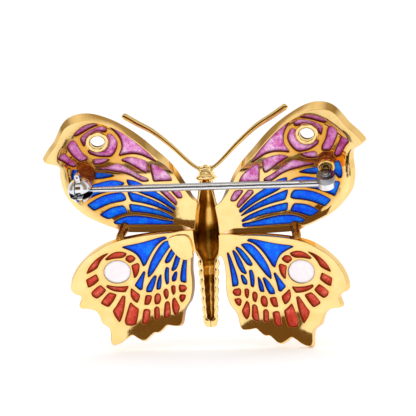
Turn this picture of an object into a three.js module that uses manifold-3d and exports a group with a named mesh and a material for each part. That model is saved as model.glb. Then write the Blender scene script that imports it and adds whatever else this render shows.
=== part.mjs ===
// Gold butterfly brooch with enamelled wings, seen and worn from its pin side.
// Millimetres. +Z runs from the tail to the head, the pin side faces -Y, and +X points
// to the wing pair that carries the hinge.
import * as THREE from 'three';
import { mergeVertices } from 'three/addons/utils/BufferGeometryUtils.js';
import Module from 'manifold-3d';

const wasm = await Module();
wasm.setup();

// ---- driving dimensions ----
const LATTICE = 0.5;          // thickness of the pierced cell walls
const RIM = 1.2;              // thickness of the solid border round each wing
const ENAMEL = 0.32;          // thickness of the enamel behind the piercing
const GAP = 0.05;             // fitting gap between neighbouring pieces
const LIFT = 0.37;            // the left pair sits this much higher, the right this much lower
const DROOP = 1.2;            // the tip of the left forewing hangs this much lower
const LONGEST_EDGE = 3.6;     // wing faces are divided until no edge is longer
const EYE_RING = [14.3, 10.0];
const EYE_RING_OUTER = 1.58;
const EYE_RING_INNER = 0.95;
const STONE = [12.7, -8.1];
const STONE_RADII = [1.78, 1.56];
const FINDING_X = 16.7;       // catch and hinge stand this far from the middle
const FINDING_TILT = 36 * Math.PI / 180;
const STEM_RADIUS = 0.5;
const STEM_TIP_RADIUS = 0.3;
const CATCH_RADIUS = 1.75;
const ROTOR_RADIUS = 1.4;
const ROTOR_BORE = 0.55;
const TRACK_HALF = 0.46;      // half width of the slot the rotor tab runs in
const KNUCKLE_RADIUS = 1.22;
const RIVET_RADIUS = 0.32;

// The brooch is handed over with its origin at the middle of the pin stem.
const ORIGIN = new THREE.Vector3(0, -2.9, 3.5);

// Directions shared by the catch and the hinge: OUT leaves the back of the wing,
// UP runs along the wing towards the head.
const OUT = new THREE.Vector3(0, -Math.cos(FINDING_TILT), -Math.sin(FINDING_TILT));
const UP = new THREE.Vector3(0, -Math.sin(FINDING_TILT), Math.cos(FINDING_TILT));
const ACROSS = new THREE.Vector3(1, 0, 0);

// ---- the domed wing surfaces: depth of the back face at u (outwards) and v (up) ----
const foreDepth = (u, v) => 0.30 * u - 0.016 * u * u + 0.05 * v - 0.035 * v * v;
const TAIL_FROM = -12.8;      // below this the hindwings curl further towards the pin side
const tailCurl = (v) => 0.031 * Math.max(0, TAIL_FROM - v) ** 2;
const hindDepth = (u, v) => (
  -1.8 + 0.26 * u - 0.02 * u * u - 0.17 * v - 0.006 * v * v - tailCurl(v)
);

// ---- outlines and openings of one side, [u, v] in mm; the other side is its mirror ----
const FORE_OUTLINE = [
  [1.0, -1.9], [1.0, 1.2], [1.9, 1.5], [2.35, 2.1], [2.8, 3.0], [3.5, 4.15], [4.1, 5.3],
  [5.1, 6.55], [6.5, 7.9], [8.1, 9.5], [9.55, 10.75], [11.2, 11.85], [12.9, 12.75],
  [14.3, 13.35], [15.75, 13.6], [17.0, 13.45], [17.9, 13.05], [18.6, 12.4], [19.2, 11.65],
  [19.9, 10.7], [20.7, 10.0], [21.35, 9.3], [21.85, 8.6], [21.5, 8.15], [21.0, 7.95],
  [20.4, 7.7], [20.1, 7.3], [20.0, 6.6], [20.1, 5.6], [20.15, 4.5], [20.0, 3.4],
  [19.7, 2.5], [19.1, 1.7], [18.35, 0.8], [17.3, -0.15], [16.2, -0.8], [15.1, -1.3],
  [14.2, -1.7], [13.3, -2.0], [12.2, -2.2], [10.5, -2.3], [8.5, -2.35], [6.0, -2.4],
  [3.5, -2.35], [2.1, -2.2],
];
const FORE_BORDER = [
  [3.1, 1.6], [3.3, 2.4], [3.85, 3.3], [4.3, 4.2], [4.8, 5.15], [5.7, 6.0], [6.3, 6.9],
  [7.4, 8.25], [8.95, 9.65], [10.5, 10.9], [12.2, 11.95], [13.5, 12.45], [14.4, 12.6],
  [15.4, 12.55], [16.3, 12.3], [17.0, 11.9], [17.35, 11.2], [18.05, 10.85], [18.65, 10.1],
  [19.5, 9.4], [20.0, 8.85], [19.45, 8.1], [19.05, 7.5], [18.7, 6.8], [18.9, 5.8],
  [18.9, 4.7], [18.75, 4.0], [18.52, 3.4], [18.25, 2.8], [17.7, 1.6], [17.05, 1.0],
  [16.2, 0.25], [15.4, -0.3], [14.3, -1.0], [13.6, -1.5], [12.9, -1.85], [10.9, -1.95],
  [8.5, -2.0], [6.0, -2.05], [4.65, -2.05], [4.3, -1.4], [4.2, -0.4], [3.9, 0.4],
];
// Line where the pink enamel meets the blue, root to outer edge.
const FORE_SEAM = [
  [3.9, 0.3], [5.33, 1.43], [6.65, 2.57], [7.7, 3.45], [9.1, 4.02], [10.0, 4.5],
  [11.3, 4.9], [12.6, 5.35], [13.9, 5.72], [15.2, 5.8], [16.5, 6.15], [17.6, 6.4],
  [18.8, 6.75],
];
const FORE_PINK = [
  [[6.5, 6.7], [7.6, 8.1], [9.1, 9.5], [10.6, 10.7], [12.2, 11.7], [11.4, 10.6],
    [11.1, 9.8], [11.1, 8.9], [11.8, 7.8], [10.9, 8.0], [9.7, 8.1], [8.6, 7.9], [7.5, 7.3]],
  [[12.4, 10.8], [12.9, 10.6], [12.72, 9.9], [12.95, 9.2], [13.45, 8.7], [14.1, 8.52],
    [14.9, 8.7], [15.8, 9.2], [15.7, 8.75], [15.0, 8.25], [14.1, 7.9], [12.9, 7.8],
    [12.3, 8.3], [11.8, 9.1], [11.7, 9.8], [12.0, 10.4]],
  [[12.7, 11.4], [13.0, 11.75], [13.65, 11.85], [14.3, 11.75], [15.1, 11.55], [15.8, 11.25],
    [16.4, 10.8], [16.35, 10.3], [16.15, 9.75], [15.95, 10.1], [15.75, 10.55], [15.3, 10.95],
    [14.7, 11.2], [14.05, 11.3], [13.4, 11.2], [12.9, 11.1]],
  [[13.6, 12.2], [14.35, 12.4], [15.3, 12.35], [16.2, 12.1], [16.8, 11.75], [17.05, 11.3],
    [16.5, 11.35], [15.65, 11.65], [14.9, 11.9], [14.2, 12.05]],
  [[17.4, 10.85], [17.9, 10.65], [18.35, 10.0], [18.15, 9.4], [17.75, 8.6], [17.15, 7.7],
    [16.1, 7.8], [16.2, 8.4], [16.75, 9.2], [16.95, 9.95], [17.1, 10.45]],
  [[18.85, 9.4], [19.45, 9.15], [19.8, 8.8], [19.2, 8.25], [18.85, 7.6], [18.45, 7.0],
    [18.0, 6.85], [17.65, 7.1], [17.9, 7.8], [18.4, 8.6]],
  [[13.15, 7.45], [14.2, 7.65], [15.25, 7.7], [15.45, 6.95], [14.65, 6.85], [13.85, 7.0]],
  [[8.1, 7.0], [9.1, 7.35], [10.05, 7.55], [10.85, 7.5], [11.6, 7.2], [10.7, 6.8],
    [9.7, 6.2], [8.8, 5.6], [8.25, 5.35], [8.05, 5.9]],
  [[8.0, 4.3], [8.2, 4.6], [9.0, 4.95], [10.25, 5.7], [11.4, 6.4], [12.15, 6.75],
    [12.85, 6.6], [13.8, 6.3], [14.9, 6.2], [14.95, 6.0], [13.75, 5.95], [12.65, 5.7],
    [11.65, 5.55], [10.5, 5.15], [9.8, 4.7], [8.95, 4.2]],
  [[4.65, 4.2], [5.05, 5.0], [5.95, 5.8], [7.1, 6.5], [7.55, 6.6], [7.55, 5.95],
    [7.45, 5.1], [7.35, 4.2]],
  [[3.35, 1.75], [3.55, 2.35], [4.1, 3.1], [5.15, 3.1], [4.6, 2.35], [4.0, 1.7]],
  [[4.15, 1.05], [4.5, 1.65], [5.2, 2.4], [5.85, 3.1], [6.4, 3.05], [6.5, 2.75],
    [6.0, 2.25], [5.2, 1.5], [4.35, 0.75]],
];
const FORE_BLUE = [
  [[4.45, 0.4], [5.4, 1.35], [6.65, 2.35], [8.1, 3.2], [9.8, 4.3], [11.2, 4.55],
    [11.0, 3.8], [10.0, 3.0], [9.0, 2.5], [7.5, 1.9], [6.1, 1.1], [4.55, 0.05]],
  [[4.6, -0.4], [5.65, 0.5], [6.75, 1.15], [8.15, 1.8], [9.55, 2.4], [11.2, 2.9],
    [11.05, 2.25], [10.75, 1.6], [9.2, 1.3], [7.55, 0.8], [6.05, 0.2]],
  [[4.75, -1.0], [5.6, -0.4], [6.95, 0.15], [8.35, 0.6], [9.75, 0.95], [11.1, 1.15],
    [10.95, 0.15], [9.75, 0.0], [8.35, -0.2], [6.95, -0.5], [5.6, -0.95], [4.8, -1.2]],
  [[4.8, -1.45], [6.0, -1.3], [7.65, -0.9], [9.15, -0.6], [10.5, -0.45], [11.6, -0.5],
    [12.55, -0.75], [13.4, -1.2], [13.1, -1.5], [12.15, -1.6], [10.9, -1.65], [9.1, -1.7],
    [7.0, -1.8], [4.9, -1.85]],
  [[12.8, 5.15], [13.9, 5.5], [15.1, 5.6], [16.5, 5.9], [17.6, 6.1], [18.25, 6.4],
    [18.5, 5.7], [18.65, 4.8], [18.5, 4.2], [18.1, 4.15], [17.6, 4.8], [16.5, 4.9],
    [15.1, 4.8], [14.0, 4.9]],
  [[11.55, 4.1], [12.5, 4.45], [13.6, 4.5], [14.6, 4.3], [16.0, 4.0], [17.3, 3.7],
    [18.25, 3.6], [18.0, 2.95], [17.5, 1.8], [16.65, 2.2], [15.3, 2.75], [13.9, 3.05],
    [12.5, 3.4]],
  [[11.5, 1.85], [11.7, 2.45], [12.05, 2.8], [13.25, 2.75], [14.6, 2.5], [15.85, 1.95],
    [16.9, 1.3], [16.45, 0.85], [16.05, 0.5], [15.25, 0.85], [14.15, 1.3], [12.9, 1.55],
    [12.0, 1.65]],
  [[11.4, 0.0], [11.7, 0.65], [12.0, 1.0], [13.05, 0.9], [13.85, 0.7], [14.65, 0.3],
    [15.25, -0.1], [14.65, -0.5], [14.1, -0.75], [13.3, -0.5], [12.45, -0.2]],
];

const HIND_OUTLINE = [
  [1.0, -5.5], [1.0, -2.7], [2.5, -2.72], [4.5, -2.75], [6.9, -2.85], [9.0, -3.05],
  [10.85, -3.3], [12.6, -3.65], [14.0, -4.1], [15.15, -4.75], [16.2, -5.55], [17.0, -6.3],
  [17.7, -7.1], [18.35, -8.25], [18.7, -9.3], [18.8, -10.3], [18.4, -10.85], [17.65, -11.1],
  [17.5, -11.5], [17.75, -12.1], [17.9, -12.6], [17.65, -12.9], [16.65, -13.0],
  [15.9, -13.3], [15.45, -13.8], [15.2, -14.5], [15.05, -15.1], [14.6, -15.4],
  [14.05, -15.8], [13.9, -16.4], [13.9, -17.6], [13.65, -18.05], [13.1, -18.05],
  [12.35, -17.75], [11.75, -17.3], [11.0, -16.85], [10.4, -17.3], [9.6, -17.75],
  [9.1, -17.65], [8.6, -17.2], [8.0, -16.65], [7.4, -16.75], [6.9, -16.4], [6.2, -15.7],
  [5.2, -15.9], [4.4, -15.9], [4.05, -15.5], [3.9, -14.7], [3.75, -13.8], [3.3, -13.1],
  [2.8, -12.5], [2.5, -11.6], [2.35, -10.7], [2.3, -9.5], [2.42, -8.3], [2.35, -7.35],
  [2.25, -6.35], [2.0, -5.75], [1.5, -5.55],
];
const HIND_BORDER = [
  [2.55, -5.6], [2.5, -5.2], [2.8, -4.85], [3.5, -4.65], [3.9, -4.2], [4.5, -3.9],
  [5.15, -3.75], [5.6, -3.25], [6.8, -3.35], [8.0, -3.6], [9.6, -4.0], [11.4, -4.25],
  [12.4, -4.45], [13.9, -5.1], [14.6, -5.3], [15.35, -5.75], [16.1, -6.4], [16.7, -7.15],
  [17.1, -8.1], [17.15, -9.0], [16.95, -10.2], [16.6, -10.95], [16.4, -11.5],
  [15.8, -11.9], [15.4, -12.5], [14.8, -12.95], [14.2, -13.2], [13.9, -13.6],
  [13.6, -14.4], [12.95, -15.4], [12.2, -15.4], [11.95, -15.8], [11.1, -15.95],
  [10.4, -15.75], [9.7, -15.75], [9.1, -15.85], [8.5, -15.45], [8.0, -15.2],
  [7.4, -15.3], [6.6, -15.05], [5.9, -15.0], [5.0, -14.85], [4.35, -14.2], [4.05, -13.3],
  [3.6, -12.75], [3.1, -11.85], [2.9, -10.8], [2.85, -9.0], [2.72, -7.2],
];
// Line where the blue enamel meets the red, leading edge to body side.
const HIND_SEAM = [
  [13.2, -4.95], [12.0, -5.0], [11.0, -5.38], [10.25, -5.75], [9.78, -6.5], [9.42, -7.3],
  [9.45, -8.15], [10.15, -9.1], [10.78, -10.1], [10.3, -10.7], [9.75, -11.12],
  [8.9, -11.3], [8.1, -11.3], [7.4, -11.05], [6.75, -10.85], [6.1, -10.45], [5.0, -9.98],
  [4.2, -10.0], [3.0, -10.15],
];
const HIND_BLUE = [
  [[5.5, -3.75], [5.8, -3.45], [6.7, -3.6], [7.85, -3.9], [9.55, -4.3], [11.4, -4.55],
    [11.9, -4.7], [10.8, -5.2], [10.0, -5.7], [9.5, -6.45], [9.15, -7.5], [8.8, -7.3],
    [8.2, -6.2], [7.55, -5.2], [6.8, -4.4], [6.1, -3.95]],
  [[4.65, -4.2], [5.25, -4.05], [6.0, -4.15], [6.7, -4.8], [7.5, -5.9], [8.2, -7.15],
    [8.6, -8.5], [8.55, -9.1], [7.95, -8.6], [7.15, -7.5], [6.2, -6.1], [5.45, -5.2]],
  [[3.9, -4.7], [4.05, -4.45], [4.6, -4.75], [5.25, -5.5], [5.8, -6.35], [6.1, -6.95],
    [5.95, -7.2], [5.4, -7.05], [4.8, -6.2], [4.25, -5.3]],
  [[3.45, -5.05], [3.65, -4.9], [4.1, -5.45], [4.6, -6.45], [4.95, -7.45], [5.25, -8.15],
    [5.05, -8.3], [4.5, -8.0], [4.05, -7.1], [3.75, -6.05]],
  [[2.72, -5.35], [2.85, -5.15], [3.1, -5.65], [3.5, -7.0], [3.85, -8.15], [4.05, -9.4],
    [3.95, -9.8], [3.2, -9.95], [3.15, -8.85], [2.98, -7.2]],
  [[8.9, -8.3], [9.1, -8.15], [9.8, -9.1], [10.5, -10.1], [9.8, -10.8], [9.45, -10.7],
    [9.3, -9.7]],
  [[7.35, -8.9], [7.65, -8.8], [8.3, -9.55], [8.9, -10.55], [8.95, -11.1], [8.2, -11.1],
    [7.75, -10.25]],
  [[6.7, -8.65], [7.0, -8.95], [7.4, -9.85], [7.5, -10.8], [6.95, -10.75], [6.75, -10.0]],
  [[5.55, -7.8], [5.95, -7.7], [6.2, -8.4], [6.25, -9.4], [6.05, -10.15], [5.7, -9.95],
    [5.65, -8.95]],
  [[4.4, -8.35], [4.75, -8.4], [5.25, -9.2], [5.2, -9.75], [4.7, -9.65], [4.45, -8.95]],
];
const HIND_RED = [
  [[13.7, -5.4], [14.35, -5.6], [15.1, -6.0], [15.8, -6.6], [16.4, -7.3], [16.75, -8.15],
    [16.05, -7.85], [15.3, -7.4], [15.0, -6.7], [14.55, -6.1]],
  [[11.25, -5.6], [11.85, -5.35], [12.75, -5.3], [13.6, -5.7], [14.25, -6.3],
    [13.95, -6.4], [13.05, -6.2], [12.05, -6.2], [11.55, -6.0]],
  [[10.1, -6.3], [10.65, -5.85], [11.3, -5.95], [11.55, -6.45], [10.95, -6.95], [10.4, -6.7]],
  [[9.65, -7.2], [9.9, -7.0], [10.75, -7.3], [10.6, -8.25], [10.5, -9.1], [10.1, -8.8],
    [9.75, -8.1]],
  [[15.5, -8.25], [16.15, -8.6], [16.85, -8.95], [16.65, -10.05], [15.95, -9.75], [15.2, -9.1]],
  [[15.05, -9.8], [15.7, -10.2], [16.3, -10.8], [16.15, -11.3], [15.6, -11.65],
    [14.95, -11.2], [14.35, -10.55]],
  [[13.0, -11.25], [13.9, -10.9], [14.5, -11.4], [15.15, -12.3], [14.7, -12.65],
    [14.15, -12.9], [13.5, -12.15]],
  [[11.85, -11.55], [12.2, -11.45], [12.7, -12.2], [13.2, -13.0], [13.6, -13.45],
    [13.4, -14.15], [12.75, -15.1], [12.35, -14.25], [12.0, -12.8]],
  [[11.3, -10.15], [12.25, -10.2], [13.35, -10.1], [14.2, -9.85], [14.3, -10.1],
    [13.6, -10.65], [12.7, -10.9], [11.8, -10.95]],
  [[9.85, -11.45], [10.45, -10.95], [11.0, -10.45], [11.15, -11.45], [10.8, -12.2],
    [10.25, -12.55], [9.95, -11.95]],
  [[10.1, -13.4], [10.65, -13.0], [11.2, -12.4], [11.4, -12.9], [11.75, -13.9],
    [12.05, -14.95], [11.85, -15.5], [11.1, -15.65], [10.55, -15.45], [10.3, -14.55]],
  [[8.2, -11.65], [8.6, -11.55], [9.05, -11.55], [9.2, -12.15], [9.3, -12.85],
    [8.7, -12.85], [8.35, -12.35]],
  [[7.05, -11.45], [7.45, -11.3], [7.8, -11.65], [7.9, -12.4], [7.75, -12.85],
    [7.2, -12.75], [6.9, -12.1]],
  [[5.9, -10.85], [6.15, -10.7], [6.5, -10.95], [6.55, -11.45], [6.25, -12.2],
    [5.95, -12.0], [5.8, -11.4]],
  [[4.8, -10.4], [5.05, -10.25], [5.4, -10.4], [5.4, -11.1], [5.15, -11.65], [4.85, -11.3]],
  [[3.15, -10.7], [3.4, -10.3], [4.2, -10.2], [4.35, -10.65], [4.2, -11.2], [3.5, -11.2]],
  [[8.5, -13.65], [8.95, -13.45], [9.4, -13.5], [9.6, -14.4], [9.7, -15.45],
    [9.2, -15.55], [8.7, -15.15]],
  [[7.25, -13.3], [7.65, -13.15], [7.95, -13.45], [7.95, -14.9], [7.5, -15.0], [7.2, -14.65]],
  [[5.75, -12.6], [6.05, -12.45], [6.4, -12.7], [6.55, -13.6], [6.65, -14.75],
    [6.0, -14.7], [5.65, -14.2]],
  [[5.0, -11.95], [5.3, -12.2], [5.45, -13.1], [5.3, -13.95], [4.95, -14.5], [4.6, -14.1],
    [4.3, -13.3], [4.65, -12.6]],
  [[3.35, -11.65], [4.1, -11.55], [4.35, -11.9], [4.15, -12.55], [3.9, -12.6], [3.55, -12.25]],
];
const PLAQUE = [
  [2.0, -3.35], [2.6, -3.1], [3.5, -3.05], [4.3, -3.2], [4.95, -3.55], [5.3, -4.1],
  [5.35, -4.75], [5.1, -5.4], [4.65, -6.0], [4.1, -6.45], [3.5, -6.65], [3.0, -6.4],
  [2.6, -5.8], [2.25, -5.0], [2.0, -4.2],
];

// ---- materials: one per kind of surface ----
const gold = () => new THREE.MeshStandardMaterial({ color: 0xe0b050, metalness: 1, roughness: 0.12 });
const whiteMetal = () => new THREE.MeshStandardMaterial({ color: 0xd8dadd, metalness: 1, roughness: 0.08 });
const enamel = (colour) => new THREE.MeshStandardMaterial({ color: colour, metalness: 0, roughness: 0.15 });

const group = new THREE.Group();
group.name = 'butterfly_brooch';

// ---- shared helpers ----
function indexed(geometry) {
  const plain = geometry.clone();
  plain.deleteAttribute('normal');
  plain.deleteAttribute('uv');
  return mergeVertices(plain, 1e-5);
}

function toSolid(geometry) {
  const g = indexed(geometry);
  const vertProperties = new Float32Array(g.attributes.position.array);
  const triVerts = new Uint32Array(g.index.array);
  return new wasm.Manifold(new wasm.Mesh({ numProp: 3, vertProperties, triVerts }));
}

function fromSolid(solid) {
  const data = solid.getMesh();
  const g = new THREE.BufferGeometry();
  g.setAttribute('position', new THREE.BufferAttribute(new Float32Array(data.vertProperties), 3));
  g.setIndex(new THREE.BufferAttribute(new Uint32Array(data.triVerts), 1));
  return g;
}

// Turns the faces outwards when a mirror or a bend has turned them in.
function outward(geometry) {
  const p = geometry.attributes.position;
  const index = geometry.index.array;
  const a = new THREE.Vector3();
  const b = new THREE.Vector3();
  const c = new THREE.Vector3();
  let volume = 0;
  for (let i = 0; i < index.length; i += 3) {
    a.fromBufferAttribute(p, index[i]);
    b.fromBufferAttribute(p, index[i + 1]);
    c.fromBufferAttribute(p, index[i + 2]);
    volume += a.dot(b.cross(c));
  }
  if (volume < 0) {
    for (let i = 0; i < index.length; i += 3) {
      const keep = index[i];
      index[i] = index[i + 1];
      index[i + 1] = keep;
    }
  }
  return geometry;
}

function add(name, geometry, material) {
  const flat = geometry.index ? geometry.toNonIndexed() : geometry.clone();
  flat.deleteAttribute('normal');
  flat.deleteAttribute('uv');
  flat.translate(-ORIGIN.x, -ORIGIN.y, -ORIGIN.z);
  flat.computeVertexNormals();
  const mesh = new THREE.Mesh(flat, material);
  mesh.name = name;
  group.add(mesh);
  return mesh;
}

// Divides every edge longer than the limit, the same way on both of its faces.
function divide(geometry, longest) {
  let points = Array.from(geometry.attributes.position.array);
  let faces = Array.from(geometry.index.array);
  const length = (i, j) => Math.hypot(
    points[3 * i] - points[3 * j],
    points[3 * i + 1] - points[3 * j + 1],
    points[3 * i + 2] - points[3 * j + 2],
  );
  for (let pass = 0; pass < 6; pass += 1) {
    const middles = new Map();
    const next = [];
    const middle = (i, j) => {
      if (length(i, j) <= longest) return -1;
      const key = i < j ? `${i}_${j}` : `${j}_${i}`;
      if (!middles.has(key)) {
        middles.set(key, points.length / 3);
        for (let k = 0; k < 3; k += 1) points.push((points[3 * i + k] + points[3 * j + k]) / 2);
      }
      return middles.get(key);
    };
    for (let f = 0; f < faces.length; f += 3) {
      const corners = [faces[f], faces[f + 1], faces[f + 2]];
      const halves = [middle(corners[0], corners[1]), middle(corners[1], corners[2]),
        middle(corners[2], corners[0])];
      const split = halves.filter((h) => h >= 0).length;
      if (split === 0) {
        next.push(...corners);
      } else if (split === 3) {
        next.push(corners[0], halves[0], halves[2], halves[0], corners[1], halves[1]);
        next.push(halves[2], halves[1], corners[2], halves[0], halves[1], halves[2]);
      } else if (split === 1) {
        const k = halves.findIndex((h) => h >= 0);
        const [a, b, c] = [corners[k], corners[(k + 1) % 3], corners[(k + 2) % 3]];
        next.push(a, halves[k], c, halves[k], b, c);
      } else {
        const k = halves.findIndex((h) => h < 0);
        const [a, b, c] = [corners[k], corners[(k + 1) % 3], corners[(k + 2) % 3]];
        const bc = halves[(k + 1) % 3];
        const ca = halves[(k + 2) % 3];
        next.push(ca, bc, c, a, b, bc, a, bc, ca);
      }
    }
    faces = next;
    if (middles.size === 0) break;
  }
  const g = new THREE.BufferGeometry();
  g.setAttribute('position', new THREE.BufferAttribute(new Float32Array(points), 3));
  g.setIndex(new THREE.BufferAttribute(new Uint32Array(faces), 1));
  return g;
}

// How far the tip of the left forewing hangs below its mirror image.
function droop(depth, side, u, v) {
  if (side > 0 || depth !== foreDepth) return 0;
  const ease = (x) => THREE.MathUtils.smoothstep(x, 0, 1);
  return DROOP * ease((u - 11) / 11) * ease((v - 5.4) / 3.6);
}

// Point w in front of the back face of a wing; side is +1 or -1.
function wingPoint(depth, side, u, v, w) {
  const step = 0.01;
  const slopeU = (depth(u + step, v) - depth(u - step, v)) / (2 * step);
  const slopeV = (depth(u, v + step) - depth(u, v - step)) / (2 * step);
  const n = Math.hypot(slopeU, 1, slopeV);
  return new THREE.Vector3(
    side * (u - w * slopeU / n),
    depth(u, v) + w / n,
    v - w * slopeV / n - side * LIFT - droop(depth, side, u, v),
  );
}

function bend(geometry, depth, side) {
  const g = geometry.clone();
  const p = g.attributes.position;
  for (let i = 0; i < p.count; i += 1) {
    const q = wingPoint(depth, side, p.getX(i), p.getY(i), p.getZ(i));
    p.setXYZ(i, q.x, q.y, q.z);
  }
  return outward(g);
}

const loop = (points) => points.map(([u, v]) => new THREE.Vector2(u, v));

function oval(centre, radiusU, radiusV, count) {
  const points = [];
  for (let i = 0; i < count; i += 1) {
    const a = (2 * Math.PI * i) / count;
    points.push([centre[0] + radiusU * Math.cos(a), centre[1] + radiusV * Math.sin(a)]);
  }
  return points;
}

// Flat plate in u, v with w as its thickness.
function plate(outline, holes, from, to) {
  const outer = loop(outline);
  if (THREE.ShapeUtils.isClockWise(outer)) outer.reverse();
  const shape = new THREE.Shape(outer);
  for (const hole of holes) shape.holes.push(new THREE.Path(loop(hole)));
  const g = new THREE.ExtrudeGeometry(shape, { depth: to - from, bevelEnabled: false, steps: 1 });
  g.translate(0, 0, from);
  return indexed(g);
}

// Closed tube through the points, its radius given at each point.
function rod(points, radii, sides, steps) {
  const curve = new THREE.CatmullRomCurve3(points);
  const positions = [];
  const faces = [];
  const side = new THREE.Vector3();
  const up = new THREE.Vector3();
  const hint = new THREE.Vector3(0, 1, 0.001);
  for (let i = 0; i <= steps; i += 1) {
    const t = i / steps;
    const centre = curve.getPoint(t);
    const tangent = curve.getTangent(t);
    side.crossVectors(tangent, hint).normalize();
    up.crossVectors(side, tangent).normalize();
    const place = t * (radii.length - 1);
    const low = Math.min(Math.floor(place), radii.length - 2);
    const radius = THREE.MathUtils.lerp(radii[low], radii[low + 1], place - low);
    for (let k = 0; k < sides; k += 1) {
      const a = (2 * Math.PI * k) / sides;
      const q = centre.clone().addScaledVector(side, radius * Math.cos(a));
      q.addScaledVector(up, radius * Math.sin(a));
      positions.push(q.x, q.y, q.z);
    }
  }
  for (let i = 0; i < steps; i += 1) {
    for (let k = 0; k < sides; k += 1) {
      const a = i * sides + k;
      const b = i * sides + ((k + 1) % sides);
      faces.push(a, b, a + sides, b, b + sides, a + sides);
    }
  }
  for (let k = 1; k < sides - 1; k += 1) {
    faces.push(0, k + 1, k);
    const last = steps * sides;
    faces.push(last, last + k, last + k + 1);
  }
  const g = new THREE.BufferGeometry();
  g.setAttribute('position', new THREE.BufferAttribute(new Float32Array(positions), 3));
  g.setIndex(faces);
  return outward(g);
}

// Turns a shape made along +Y so that +Y follows `axis`, and moves it to `place`.
function turned(geometry, axis, place) {
  const g = geometry.clone();
  const q = new THREE.Quaternion().setFromUnitVectors(new THREE.Vector3(0, 1, 0), axis);
  g.applyQuaternion(q);
  g.translate(place.x, place.y, place.z);
  return g;
}

// Turns a shape made with x across, y outwards and z up into the frame of the findings.
function asFinding(geometry, place) {
  const g = geometry.clone();
  g.applyMatrix4(new THREE.Matrix4().makeBasis(ACROSS, OUT, UP));
  g.translate(place.x, place.y, place.z);
  return outward(indexed(g));
}

function box(x0, x1, y0, y1, z0, z1) {
  const g = new THREE.BoxGeometry(x1 - x0, y1 - y0, z1 - z0);
  g.translate((x0 + x1) / 2, (y0 + y1) / 2, (z0 + z1) / 2);
  return g;
}

// ---- body: a hollow boat open towards the pin side ----
// Each row: height z, outer half width, half width of the hollow, depth of the bulge.
const BODY = [
  [5.0, 0.85, 0.05, 1.3], [4.4, 0.95, 0.2, 1.6], [3.8, 1.0, 0.5, 1.9], [2.8, 1.1, 0.76, 2.2],
  [1.4, 1.35, 1.05, 2.5], [0.0, 1.68, 1.38, 2.8], [-1.4, 1.92, 1.62, 3.0],
  [-2.6, 1.98, 1.68, 3.0], [-4.0, 1.95, 1.65, 2.8], [-5.2, 1.85, 1.55, 2.5],
  [-5.9, 1.6, 1.2, 2.3], [-6.5, 1.3, 0.88, 2.15],
];
const SEGMENT = 1.25;         // length of one abdomen segment
const SEGMENTS = 7;
for (let k = 0; k < SEGMENTS; k += 1) {
  const slim = 1 - 0.05 * k;
  const hollow = 0.78 - 0.05 * k;
  const top = -6.5 - SEGMENT * k;
  BODY.push([top - 0.3 * SEGMENT, 1.46 * slim, hollow, 2.2 * slim]);
  BODY.push([top - 0.7 * SEGMENT, 1.46 * slim, hollow - 0.03, 2.15 * slim]);
  BODY.push([top - SEGMENT, 1.27 * slim, Math.max(hollow - 0.1 - (k === 6 ? 0.25 : 0), 0.05), 1.95 * slim]);
}
BODY.push([-15.6, 0.62, 0.04, 0.9]);
const bodyBack = (z) => 0.6 + 0.06 * z;

function body(grow, open) {
  const arc = 7;
  const wall = 0.32;
  const positions = [];
  const faces = [];
  const ring = open ? 2 * (arc + 1) : arc + 1;
  BODY.forEach(([z, outer, inner, bulge], row) => {
    const ends = row === 0 ? grow : row === BODY.length - 1 ? -grow : 0;
    const y0 = bodyBack(z) - grow;
    for (let i = 0; i <= arc; i += 1) {
      const a = (Math.PI * i) / arc;
      positions.push((outer + grow) * Math.cos(a), y0 + (bulge + 2 * grow) * Math.sin(a), z + ends);
    }
    if (open) {
      const deep = Math.max(bulge - wall, 0.05) * Math.min(1, inner / (outer - 0.45));
      for (let i = arc; i >= 0; i -= 1) {
        const a = (Math.PI * i) / arc;
        positions.push(inner * Math.cos(a), y0 + deep * Math.sin(a), z);
      }
    }
  });
  const rows = BODY.length;
  for (let r = 0; r < rows - 1; r += 1) {
    for (let i = 0; i < ring; i += 1) {
      const a = r * ring + i;
      const b = r * ring + ((i + 1) % ring);
      faces.push(a, b, a + ring, b, b + ring, a + ring);
    }
  }
  for (const r of [0, rows - 1]) {
    const at = r * ring;
    const flip = r === 0;
    if (open) {
      for (let i = 0; i < arc; i += 1) {
        const quad = [at + i, at + i + 1, at + ring - 2 - i, at + ring - 1 - i];
        if (flip) faces.push(quad[0], quad[2], quad[1], quad[0], quad[3], quad[2]);
        else faces.push(quad[0], quad[1], quad[2], quad[0], quad[2], quad[3]);
      }
    } else {
      for (let i = 1; i < ring - 1; i += 1) {
        if (flip) faces.push(at, at + i + 1, at + i);
        else faces.push(at, at + i, at + i + 1);
      }
    }
  }
  const g = new THREE.BufferGeometry();
  g.setAttribute('position', new THREE.BufferAttribute(new Float32Array(positions), 3));
  g.setIndex(faces);
  return outward(g);
}

add('body_shell', body(0, true), gold());
const bodyCutter = toSolid(body(GAP, false));

// ---- head with two round eyes, standing on the neck ----
const headBall = new THREE.SphereGeometry(1, 12, 8);
headBall.scale(1.05, 0.95, 0.72);
headBall.translate(0, 1.75, 5.78);
let headSolid = toSolid(headBall);
for (const side of [-1, 1]) {
  const eye = new THREE.SphereGeometry(0.42, 8, 6);
  eye.translate(side * 0.82, 1.45, 6.05);
  headSolid = headSolid.add(toSolid(eye));
}
headSolid = headSolid.subtract(bodyCutter);

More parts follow.
